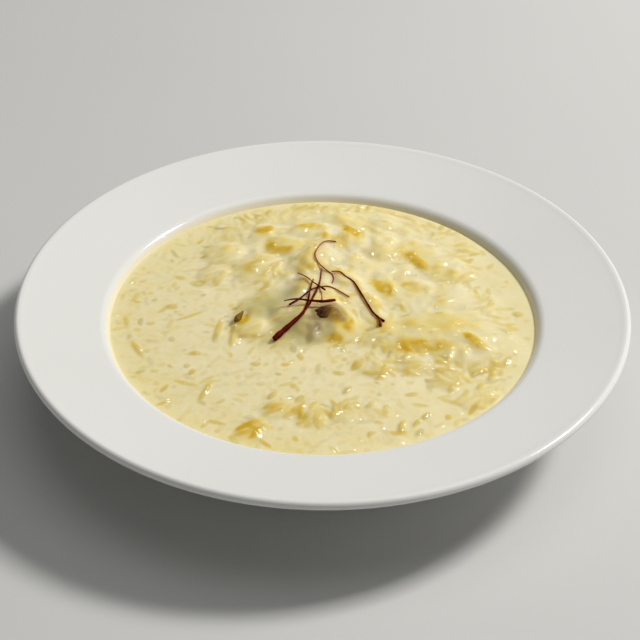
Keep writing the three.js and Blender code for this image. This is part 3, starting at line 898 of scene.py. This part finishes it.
def clotted_ground(calm, rng):
    """The mound without its grains, the share of the mound at each place, and the limit under threads."""
    folds = sum((1.05 * standing_share(*row[:2]) * row[5] * fold(row)) ** 4 for row in FOLDS)
    clots = lumps_raised(LUMPS, standing_share) + lumps_raised(SMALL_LUMPS) + folds
    bed, limit = threads_bed()
    ground = joined(SWELL_HEIGHT * swelling() + CLOT_HEIGHT * clots ** 0.25, bed, 2)
    ground = ground - RAISIN_HOLLOW[5] * hump(RAISIN_HOLLOW, 1.0)
    heaped = smoothstep((ground - 0.15) / 1.5) * (1 - 0.85 * calm)
    steep = 1 + 0.3 * smoothstep(GRID_Y / 35)
    small = np.cbrt(small_clots(rng))
    ground = ground + steep * heaped * (small - 0.18 + 0.15 * cloudy(3.0, rng))
    ground = ground - milk_sag(np.hypot(GRID_X, GRID_Y))
    ground = settle_round(ground, RAISIN_GOLDEN, (1.9, 1.9, 1.6), bare=0.3, covered=0.12, hollow=0.1)
    ground = settle_round(ground, CARDAMOM_POD, (0.0, 6.0, 3.0), bare=1.2, covered=0.0, hollow=0.8)
    ground = settle_round(ground, RAISIN_DARK, (1.3, 3.0, 4.0), bare=1.6, covered=0.12, hollow=1.2)
    return np.minimum(ground, limit), heaped, limit


def gold_and_painted_shade_share(height, heaped, rng):
    """Where rice shows gold through the milk, and painted shade: flanks away from the key light gold, lit
    ones paler.
    """
    convex = np.clip((blurred(height, 0.6) - blurred(height, 2.4)) / 0.45, -1, 1)
    # Painted shade: flanks that face away from the key light turn gold; painted light: flanks that face it
    # turn paler.
    slope_y, slope_x = np.gradient(blurred(height, 1.0), RASTER_PITCH)
    away = 0.70 * slope_x + 0.72 * slope_y
    flank = smoothstep((away - 0.02) / 0.7)
    painted_lit_flank = smoothstep((-away - 0.05) / 0.5)
    stated = spread_of(GOLD_AND_SHADE_HOLLOWS, 1.9, 1.0) * (0.5 + 0.6 * smoothstep((away + 0.25) / 0.7))
    drift = 0.5 + 0.6 * cloudy(3.4, rng) + 0.35 * cloudy(1.6, rng)
    near = np.clip(heaped, 0.5, 1)
    body = smoothstep((height - 1.0) / 1.6)
    clotted = 1 - 0.8 * spread_of(POOLS, 1.0)
    share = (0.62 * stated + (0.48 * flank - 0.14 * painted_lit_flank) * near + 0.12 * hump(RIDGE, 0.5)
             + clotted * body * (-0.03 + 0.46 * drift + 0.24 * convex))
    return blurred(share, 0.4)


def press_grains(ground, grains):
    """The ground with all grains melted into it, and how much rice and how much grey shows."""
    total = np.exp(MELT * ground)
    rice = np.zeros(ground.shape)
    grey = np.zeros(ground.shape)
    for x, y, azimuth, half_length, half_width, lift, tint, greyed, bend, _ in grains:
        window, along, across = stamp_window(x, y, azimuth, half_length + 1.5)
        across = across - bend * (along / half_length) ** 2
        inside = 1 - np.abs(along / half_length) ** GRAIN_POWER - (across / half_width) ** 2
        top = ground[window] + lift - half_width * (1 - np.sqrt(np.maximum(inside, 0)))
        total[window] += np.where(inside > 0, np.exp(MELT * top), 0)
        edge = np.sqrt((along / half_length) ** 2 + (across / half_width) ** 2)
        film = smoothstep((1.35 - edge) / 0.7) * math.exp(-max(0.0, -lift) / 0.5)
        rice[window] = 1 - (1 - rice[window]) * (1 - tint * (1 - 0.8 * greyed) * film)
        grey[window] = np.maximum(grey[window], tint * greyed * film)
    return np.log(total) / MELT, rice, grey


def pudding_fields(calm, grains, rng):
    """Heights with and without grains, and how much rice, brown, grey and saffron shows at each place;
    painted shade and light are mixed into the gold, the brown and the grey.
    """
    ground, heaped, limit = clotted_ground(calm, rng)
    radius = np.hypot(GRID_X, GRID_Y)
    height, rice, grey = press_grains(ground, grains)
    height = np.minimum(height, limit)
    height = blurred(height, 0.5) + heaped * (blurred(height, 1.0) - blurred(height, 0.5))
    inner = smoothstep((MILK_RADIUS + 0.2 - radius) / 2.5)
    height = height * inner - MILK_SAG * (1 - inner)
    height = height + MENISCUS * np.exp(-np.maximum(0, MILK_RADIUS - radius) / 1.4)

    in_milk = 1.1 - heaped
    # More golden towards the wall; creamier to the right as painted light from the key light on that side.
    rim_gold_and_painted_light = 0.12 * smoothstep((radius - 55) / 28) - 0.07 * smoothstep(GRID_X / 70)
    bare = np.clip(gold_and_painted_shade_share(height, heaped, rng) + 0.58 * rice * in_milk + rim_gold_and_painted_light, -0.2, 1)
    # The grey veil: grey milk and greyed grains, and painted shadow below the dark raisin.
    veil = 1.3 * strongest(GREY_MILK_AND_SHADOW) * (0.7 + 0.3 * cloudy(3.0, rng)) + 0.7 * grey * in_milk
    front_right = smoothstep((GRID_X - 12) / 45) * smoothstep((GRID_Y + 45) / 30)
    veil = np.maximum(np.clip(veil, 0, 1), 0.11 * front_right)
    # Brown milk and painted shadow round the dark raisin, mottled below it.
    mottle = cloudy(1.1, np.random.default_rng(MOTTLE_SEED))
    mottled = strongest(BROWN_MILK_AND_SHADOW) * (1 - smoothstep((-7.5 - GRID_Y) / 4) * (0.25 - 0.6 * mottle))
    # Painted shade in the creases between clots of the mound.
    creases = np.clip((blurred(height, 2.4) - blurred(height, 0.6)) / 0.5, 0, 1)
    shades = [mottled, strongest(BROWN_SHADE), 0.18 * rice * in_milk, 0.16 * heaped * creases]
    return height, ground, 0.2 + 0.8 * bare, np.maximum.reduce(shades), veil, saffron_stain()


def disc_grid(cells, radius):
    """A square grid laid over a disc with cells of nearly equal area: x, y, order of points and rim."""
    side = np.linspace(-1, 1, cells + 1)
    a, b = np.meshgrid(side, side, indexing="ij")
    wide = np.abs(a) > np.abs(b)
    r = np.where(wide, a, b)
    with np.errstate(divide="ignore", invalid="ignore"):
        turn = np.where(wide, (math.pi / 4) * (b / a), math.pi / 2 - (math.pi / 4) * (a / b))
    turn = np.nan_to_num(turn)
    index = np.arange((cells + 1) ** 2).reshape(cells + 1, cells + 1)
    rim = np.concatenate([index[:-1, 0], index[-1, :-1], index[:0:-1, -1], index[0, :0:-1]])
    return (radius * r * np.cos(turn)).ravel(), (radius * r * np.sin(turn)).ravel(), index, rim


def pudding(fields):
    """The milk and the melted mound as one closed body that fills the well."""
    height, _, *masks = fields
    x, y, index, rim = disc_grid(SURFACE_CELLS, MILK_RADIUS + 0.3)
    top = np.stack([x, y, MILK_LEVEL + sample(height, x, y)], axis=-1)
    quads = np.stack([index[:-1, :-1], index[1:, :-1], index[1:, 1:], index[:-1, 1:]], axis=-1)
    corner, _ = well_rounds()
    # Hidden rings below the rim, from the wall down to the floor of the well: radius and height.
    below = [
        (MILK_RADIUS + 0.4, MILK_LEVEL - 3.2),
        (corner[0] + 14.5, corner[1] - 6),
        (corner[0] + 6, WELL_FLOOR + 1.3),
    ]
    count = len(rim)
    unit = top[rim][:, :2] / np.linalg.norm(top[rim][:, :2], axis=1, keepdims=True)
    rings = [np.column_stack([unit * r, np.full(count, h)]) for r, h in below]
    points = np.vstack([top, *rings, [[0, 0, WELL_FLOOR + 0.6]]])
    orders = [rim] + [len(top) + k * count + np.arange(count) for k in range(len(below))]
    sides = [np.column_stack([lower, np.roll(lower, -1), np.roll(upper, -1), upper])
             for upper, lower in zip(orders, orders[1:])]
    cap = np.column_stack([np.roll(orders[-1], -1), orders[-1], np.full(count, len(points) - 1)])
    piece = mesh_object("kheer_milk", points, np.vstack([quads.reshape(-1, 4), *sides]), cap)
    store(piece, "pudding", *[sample(mask, points[:, 0], points[:, 1]) for mask in masks])
    return piece


def wet_shine(look, where, shade, veil, ripples):
    """Strength of the wet film: drops that slope to the key light, and flanks that lean to it."""
    wet = look.times(
        look.fade(where["X"], 20, 50, 1.0, 0.34),
        look.fade(where["Y"], 0, 20, 0.75, 1.0),
        look.ramp(veil, 0.15, 0.6, 1.0, 0.2),
        look.ramp(shade, 0.04, 0.25, 1.0, 0.2),
    )
    ahead = look.node("ShaderNodeVectorMath")
    look.put(ahead.inputs[0], look.place())
    look.put(ahead.inputs[1], TOWARDS_LIGHT_M)
    sloping = look.maths("SUBTRACT", ripples, look.noise(*RIPPLES, ahead.outputs["Vector"]))
    drops = look.ramp(look.noise(*DROPS), 0.45, 0.53, 0.12, 1.0)
    sheen = look.times(drops, look.ramp(sloping, 0.025, 0.075, 0.08, 1.0))
    # The leaning flanks shine only in front of the mound.
    flank = look.times(
        look.ramp(look.leaning(), 0.06, 0.15, 0.0, 0.8),
        look.fade(where["Y"], -25, -10),
        look.ramp(look.noise(*DROPS), 0.36, 0.45, 0.1, 1.0),
    )
    return look.maths("MAXIMUM", look.times(wet, sheen), flank)


def pudding_look():
    look = Shader("thickened milk over rice")
    where = look.split(look.place())
    bare, shade, veil, stain = look.stored("pudding")
    colour = look.colour_ramp(look.maths("ADD", bare, look.varied(110.0, 3.0, -0.08, 0.08)), [
        (0.0, CREAM_COLOUR), (0.2, MILK_COLOUR), (0.52, RICE_COLOUR), (0.82, GOLD_COLOUR),
        (1.0, DEEP_GOLD_COLOUR),
    ])
    # The grey veil and the brown shade also carry painted shadow below the dark raisin and painted shade in
    # creases.
    tints = (veil, 0.82, VEIL_COLOUR), (shade, 0.9, BROWN_COLOUR), (stain, 0.3, STAIN_COLOUR)
    for mask, most, tint in tints:
        colour = look.mix(look.times(mask, most), colour, tint)
    # Near the wall the light that spreads inside the milk would be lost in the porcelain.
    at_wall = look.fade(look.radius(where), MILK_RADIUS - 3.9, MILK_RADIUS - 0.9)
    ripples = look.noise(*RIPPLES)
    look.set(
        Base_Color=colour,
        IOR=1.42,
        Roughness=look.varied(260.0, 3.0, 0.32, 0.5),
        Specular_IOR_Level=0.12,
        Subsurface_Weight=look.times(look.ramp(shade, 0.1, 0.6, 0.85, 0.3), at_wall),
        Subsurface_Radius=(1.0, 0.80, 0.50),
        Subsurface_Scale=3.8 * MM,
        Coat_Weight=wet_shine(look, where, shade, veil, ripples),
        Coat_Roughness=0.245,
        Coat_IOR=1.55,
    )
    look.bump(look.noise(620.0, 2.0), 0.08, 0.3, "Normal")
    look.bump(ripples, look.ramp(bare, 0.17, 0.42, 0.266, 0.95), 5.2, "Coat Normal")
    return look.material


# ---------------- rice


def grain_template(rings=8, sides=12):
    """One grain on the unit cylinder: share along the length, size and direction round it, and faces."""
    s = np.sin(np.linspace(-math.pi / 2, math.pi / 2, rings + 2))[1:-1]
    phi = 2 * math.pi * np.arange(sides) / sides
    along = np.concatenate([np.repeat(s, sides), [-1, 1]])
    size = np.concatenate([np.repeat(np.sqrt(1 - np.abs(s) ** GRAIN_POWER), sides), [0, 0]])
    turn = np.concatenate([np.tile(phi, rings), [0, 0]])
    return along, size, turn, *ring_faces(rings, sides)


def laid_grain(template, grain, slopes, height, backs, rng):
    """Points of one swollen, bent, tapered grain, laid on the surface along the slope of the ground."""
    along, size, turn = template
    x, y, azimuth, half_length, half_width, *_, bend, _ = grain
    ahead, aside = math.cos(azimuth), math.sin(azimuth)
    climb_x, climb_y = (float(sample(slope, x, y)) for slope in slopes)
    pitch = math.atan(climb_x * ahead + climb_y * aside)
    taper = 1 + rng.normal(0, 0.12) * along
    flat = rng.uniform(0.8, 1.0)
    groove = (1 - 0.07 * np.cos(2 * turn + rng.uniform(0, 6))
              - 0.04 * np.cos(3 * turn + rng.uniform(0, 6)))
    local_y = half_width * size * taper * groove * np.cos(turn) + bend * along ** 2
    local_z = half_width * flat * size * taper * groove * np.sin(turn)
    forward = np.array([ahead * math.cos(pitch), aside * math.cos(pitch), math.sin(pitch)])
    side = np.array([-aside, ahead, 0])
    up = np.cross(forward, side)
    over = [at + step * half_length * REST for at, step in zip((x, y), forward)]
    crest = (forward[2] * half_length * REST
             + half_width * flat * np.sqrt(1 - np.abs(REST) ** GRAIN_POWER))
    rest = float(np.min(sample(height, *over) - crest)) + rng.uniform(*backs)
    middle = np.array([x, y, MILK_LEVEL + rest])
    return (middle + np.outer(half_length * along, forward) + np.outer(local_y, side)
            + np.outer(local_z, up))


def rice_piece(name, grains, height, ground, rng):
    """Real grains, no two alike, joined into one mesh."""
    *template, quads, fans = grain_template()
    slope_y, slope_x = np.gradient(blurred(ground, 1.2), RASTER_PITCH)
    points, tones = [], []
    for grain in grains:
        points.append(laid_grain(template, grain, (slope_x, slope_y), height, RICE_BACKS[name], rng))
        tones.append(np.full(len(points[-1]), rng.uniform()))
    shift = (np.arange(len(grains)) * len(points[0]))[:, None, None]
    faces = (quads + shift).reshape(-1, 4), (fans + shift).reshape(-1, 3)
    piece = mesh_object(name, np.vstack(points), *faces)
    store(piece, "grain", np.concatenate(tones))
    return piece


def rice_look():
    look = Shader("milk-soaked rice grain")
    tone, *_ = look.stored("grain")
    film = look.ramp(look.noise(330.0, 3.0), 0.42, 0.6, 0.0, 0.5)
    # Only the side towards the key light is wet: it shines there, and the other side stays soft.
    drops = look.ramp(look.noise(*DROPS), 0.41, 0.5, 0.25, 1.0)
    look.set(
        Base_Color=look.mix(film, look.mix(tone, *GRAIN_COLOURS), MILK_COLOUR),
        IOR=1.42,
        Roughness=look.varied(500.0, 2.0, 0.2, 0.35),
        Coat_Weight=look.times(drops, look.ramp(look.leaning(), 0.04, 0.14, 0.2, 1.0)),
        Coat_Roughness=0.17,
        Coat_IOR=1.6,
    )
    look.bump(look.noise(1200.0, 2.0), 0.15, 0.2)
    return look.material


# ---------------- fruit and spice


def ball(cells_round, cells_up):
    """Directions on a sphere with their faces; the poles lie on the X axis."""
    lat = np.linspace(-math.pi / 2, math.pi / 2, cells_up + 1)[1:-1]
    lon = 2 * math.pi * np.arange(cells_round) / cells_round
    x = np.repeat(np.sin(lat), cells_round)
    ring = np.repeat(np.cos(lat), cells_round)
    y = ring * np.tile(np.cos(lon), len(lat))
    z = ring * np.tile(np.sin(lon), len(lat))
    points = np.vstack([np.column_stack([x, y, z]), [-1, 0, 0], [1, 0, 0]])
    return points, *ring_faces(len(lat), cells_round)


def wrinkled(name, item, folds, depth, ribbed, rng, pointed=0.0):
    """A raisin or pod: an ellipsoid creased by folds that run mostly lengthwise; +X is its pointed end."""
    points, quads, fans = ball(96, 64)
    crease = np.zeros(len(points))
    for _ in range(folds):
        normal = rng.standard_normal(3) * np.array([ribbed, 1, 1])
        wave = points @ (normal * rng.uniform(1.6, 3.4)) + rng.uniform(0, 6)
        crease += np.abs(np.sin(wave)) ** 1.5 / folds
    size = 1 - depth * (1 - crease) ** 2 * 2.2
    shaped = points * size[:, None] * np.array(item["half"])
    shaped[:, 1:] *= (1 - pointed * smoothstep(0.5 + 0.6 * points[:, 0]))[:, None]
    c, s = math.cos(math.radians(item["turn"])), math.sin(math.radians(item["turn"]))
    turn = np.array([[c, -s, 0], [s, c, 0], [0, 0, 1]])
    piece = mesh_object(name, shaped @ turn.T + np.array(item["at"]), quads, fans)
    store(piece, "crease", crease, points[:, 2], points[:, 0])
    return piece


def fruit_look(name, skin, film_colour, film_height, translucent, coat):
    """Skin darkened in its creases by painted shade, with a film of milk creeping up from the pudding."""
    look = Shader(name)
    crease_shade, ridge, far_end = skin
    crease, up, ahead, _ = look.stored("crease")
    bare = look.mix(look.ramp(crease, 0.35, 0.8), crease_shade, ridge)
    bare = look.mix(look.ramp(ahead, -0.3, 0.9), bare, far_end)
    edge = look.maths("ADD", up, look.varied(350.0, 3.0, -0.3, 0.3))
    film = look.ramp(edge, film_height - 0.15, film_height + 0.2, 0.8, 0.0)
    look.set(
        Base_Color=look.mix(film, bare, film_colour),
        IOR=1.45,
        Roughness=look.varied(600.0, 2.0, 0.4, 0.6),
        Specular_IOR_Level=0.15,
        Subsurface_Weight=translucent,
        Subsurface_Radius=(1.0, 0.45, 0.12),
        Subsurface_Scale=1.5 * MM,
        Coat_Weight=coat,
        Coat_Roughness=0.2,
    )
    look.bump(look.noise(1500.0, 3.0), 0.25, 0.2)
    return look.material


# ---------------- saffron

PALE_HEADED = "saffron_6"  # its thick head is paler than the heads of the other threads


def strand_points(route, steps):
    """Points and diameters on a smooth curve through a route's stated points."""
    stated = np.array(route, dtype=float)
    padded = np.vstack([2 * stated[0] - stated[1], stated, 2 * stated[-1] - stated[-2]])
    spans = len(stated) - 1
    out = []
    for t in np.linspace(0, spans, steps + 1):
        k = min(int(t), spans - 1)
        u = t - k
        a, b, c, d = padded[k:k + 4]
        out.append(0.5 * (2 * b + (c - a) * u + (2 * a - 5 * b + 4 * c - d) * u ** 2
                          + (3 * b - a - 3 * c + d) * u ** 3))
    out = np.array(out)
    return out[:, :3], out[:, 3]


def strand(route, rng, sides=14):
    """One dried stigma: a flattened, twisted, ribbed tube with closed, ragged ends."""
    steps = 16 * (len(route) - 1)
    middle, width = strand_points(route, steps)
    tangent = np.gradient(middle, axis=0)
    tangent /= np.linalg.norm(tangent, axis=1, keepdims=True)
    side = np.cross(tangent, np.array([0, 0, 1.0]))
    side /= np.linalg.norm(side, axis=1, keepdims=True)
    over = np.cross(side, tangent)
    phi = 2 * math.pi * np.arange(sides) / sides
    s = np.linspace(0, 1, steps + 1)
    twist = rng.uniform(0, 6) + rng.uniform(1.5, 4) * s
    lumpy = 1 + 0.07 * np.sin(rng.uniform(9, 16) * s * math.pi + rng.uniform(0, 6))
    lumpy = lumpy + rng.normal(0, 0.025, steps + 1)
    rings = []
    for k in range(steps + 1):
        flat = 1 + 0.16 * np.cos(2 * (phi - twist[k])) + 0.05 * np.cos(5 * phi + 3 * twist[k])
        radius = width[k] / 2 * lumpy[k] * flat / 1.12
        aside, above = np.outer(radius * np.cos(phi), side[k]), np.outer(radius * np.sin(phi), over[k])
        rings.append(middle[k] + aside + above)
    points = np.vstack([*rings, middle[0] - tangent[0] * 0.12, middle[-1] + tangent[-1] * 0.12])
    slim = np.concatenate([np.repeat(width, sides), width[[0, -1]]])
    return points, *ring_faces(steps + 1, sides, reverse=True), slim


def saffron_piece(name, branches, rng):
    points, quads, fans, slim = zip(*[strand(route, rng) for route in branches])
    starts = np.cumsum([0] + [len(p) for p in points[:-1]])
    quads, fans = ([group + start for group, start in zip(faces, starts)] for faces in (quads, fans))
    piece = mesh_object(name + "_stigma", np.vstack(points), np.vstack(quads), np.vstack(fans))
    slim = np.concatenate(slim)
    pale = np.clip((0.75 - slim) / 0.3, 0, 1)
    if name == PALE_HEADED:
        pale = np.maximum(pale, np.clip((slim - 1.1) / 0.4, 0, 0.35))
    store(piece, "stigma", pale)
    return piece


def saffron_look():
    look = Shader("dried saffron stigma")
    pale, *_ = look.stored("stigma")
    crimson = look.mix(look.ramp(look.noise(700.0, 3.0), 0.35, 0.65), *CRIMSON_COLOURS)
    style = look.mix(look.ramp(look.noise(500.0, 2.0), 0.35, 0.65), *STYLE_COLOURS)
    look.set(
        Base_Color=look.mix(look.times(pale, 0.8), crimson, style),
        IOR=1.4,
        Roughness=look.varied(900.0, 2.0, 0.5, 0.7),
        Specular_IOR_Level=0.06,
    )
    look.bump(look.noise(2500.0, 3.0), 0.4, 0.1)
    return look.material


# ---------------- the object


def grains_to_show(grains, height, ground):
    """Which grains stand out of the milk enough to be real ones: on gentle slopes, outside the hollows."""
    x, y, top = grains[:, [0, 1, 5]].T
    slope = np.hypot(*np.gradient(blurred(ground, 0.8), RASTER_PITCH))
    out = sample(ground, x, y) + top > sample(height, x, y) - 0.35
    return out & (sample(slope, x, y) < 0.3) & (sample(spread_of(GOLD_AND_SHADE_HOLLOWS, 1.5), x, y) < 0.3)


def build_pudding():
    calm = calm_share()
    grains = scatter_grains(calm, RNG)
    fields = pudding_fields(calm, grains, RNG)
    dress(pudding(fields), pudding_look(), "pudding", "kheer")
    height, ground = fields[:2]
    shown = grains_to_show(grains, height, ground)
    on_mound = grains[:, -1] > ON_MOUND
    rice = rice_look()
    for name, chosen in (("rice_in_the_mound", shown & on_mound), ("rice_in_the_milk", shown & ~on_mound)):
        dress(rice_piece(name, grains[chosen][:RICE_MOST], height, ground, RNG), rice, "pudding", "kheer")


def build_fruit():
    raisin = wrinkled("dark_raisin", RAISIN_DARK, folds=6, depth=0.2, ribbed=0.9, rng=RNG)
    skin = fruit_look("dark raisin skin", DARK_SKIN, BROWN_COLOUR, -0.15, translucent=0.1, coat=0.03)
    dress(raisin, skin, "dark_fruit", "raisin_dark")
    golden = wrinkled("golden_raisin", RAISIN_GOLDEN, folds=7, depth=0.12, ribbed=0.5, rng=RNG)
    skin = fruit_look("golden raisin skin", GOLDEN_SKIN, RICE_COLOUR, -0.6, translucent=0.4, coat=0.1)
    dress(golden, skin, "golden_fruit", "raisin_golden")
    pod = wrinkled("cardamom_tip", CARDAMOM_POD, folds=8, depth=0.2, ribbed=0.15, rng=RNG, pointed=0.6)
    husk = fruit_look("cardamom husk", HUSK_SKIN, GOLD_COLOUR, -0.8, translucent=0.1, coat=0.0)
    dress(pod, husk, "spice", "cardamom_pod")


def build():
    plate = turned("soup_plate", plate_profile(), PLATE_SEGMENTS)
    dress(plate, porcelain(), "porcelain", "plate")
    build_pudding()
    build_fruit()
    thread = saffron_look()
    for name, branches in SAFFRON.items():
        dress(saffron_piece(name, branches, RNG), thread, "saffron", name)


# ---------------- stage, lights and camera

FLOOR_SIZE_M = 6
CAMERA_ELEVATION = 36.66  # degrees above the table
CAMERA_ROLL = 0.40
CAMERA_DISTANCE = 614.5
CAMERA_LENS_MM = 90.0
LOOK_AT = Vector((-0.97, -17.1, PLATE_HEIGHT))
WORLD_COLOUR, WORLD_STRENGTH = (1.0, 1.0, 0.98, 1), 0.13


def stage():
    bpy.ops.mesh.primitive_plane_add(size=FLOOR_SIZE_M)
    floor = bpy.context.object
    floor.name = "floor"
    floor.location.z = -0.2 * MM  # so that it does not flicker through the foot ring
    look = Shader("pale floor")
    look.set(Base_Color=look.mix(look.varied(3.0, 2.0), *FLOOR_COLOURS), Roughness=0.8)
    floor.data.materials.append(look.material)


def area_light(name, azimuth, elevation, distance_m, size_m, watts, colour):
    """A square soft box aimed at the middle of the plate; azimuth 0 is +X and 90 is +Y."""
    data = bpy.data.lights.new(name, "AREA")
    data.size = size_m
    data.energy = watts
    data.color = colour
    lamp = bpy.data.objects.new(name, data)
    a, e = math.radians(azimuth), math.radians(elevation)
    away = Vector((math.cos(e) * math.cos(a), math.cos(e) * math.sin(a), math.sin(e)))
    lamp.location = away * distance_m
    lamp.rotation_euler = away.to_track_quat("Z", "Y").to_euler()
    bpy.context.scene.collection.objects.link(lamp)


def lights():
    area_light("key", azimuth=22, elevation=47, distance_m=2.0, size_m=0.37, watts=35.1,
               colour=(1.0, 0.985, 0.95))
    area_light("overhead", azimuth=20, elevation=84, distance_m=1.6, size_m=1.2, watts=4.4,
               colour=(1.0, 1.0, 0.98))
    world = bpy.data.worlds.new("studio")
    world.use_nodes = True
    background = world.node_tree.nodes["Background"]
    background.inputs["Color"].default_value = WORLD_COLOUR
    background.inputs["Strength"].default_value = WORLD_STRENGTH
    bpy.context.scene.world = world


def camera():
    e, roll = math.radians(CAMERA_ELEVATION), math.radians(CAMERA_ROLL)
    back = Vector((0, -math.cos(e), math.sin(e)))
    right, up = Vector((1, 0, 0)), Vector((0, math.sin(e), math.cos(e)))
    side = right * math.cos(roll) + up * math.sin(roll)
    over = up * math.cos(roll) - right * math.sin(roll)
    data = bpy.data.cameras.new("camera")
    data.lens = CAMERA_LENS_MM
    data.sensor_width = 36
    data.clip_start = 0.01
    eye = bpy.data.objects.new("camera", data)
    place = (LOOK_AT + back * CAMERA_DISTANCE) * MM
    eye.matrix_world = Matrix.Translation(place) @ Matrix((side, over, back)).transposed().to_4x4()
    bpy.context.scene.collection.objects.link(eye)
    bpy.context.scene.camera = eye


build()
stage()
lights()
camera()
bpy.context.scene.view_settings.view_transform = "Standard"
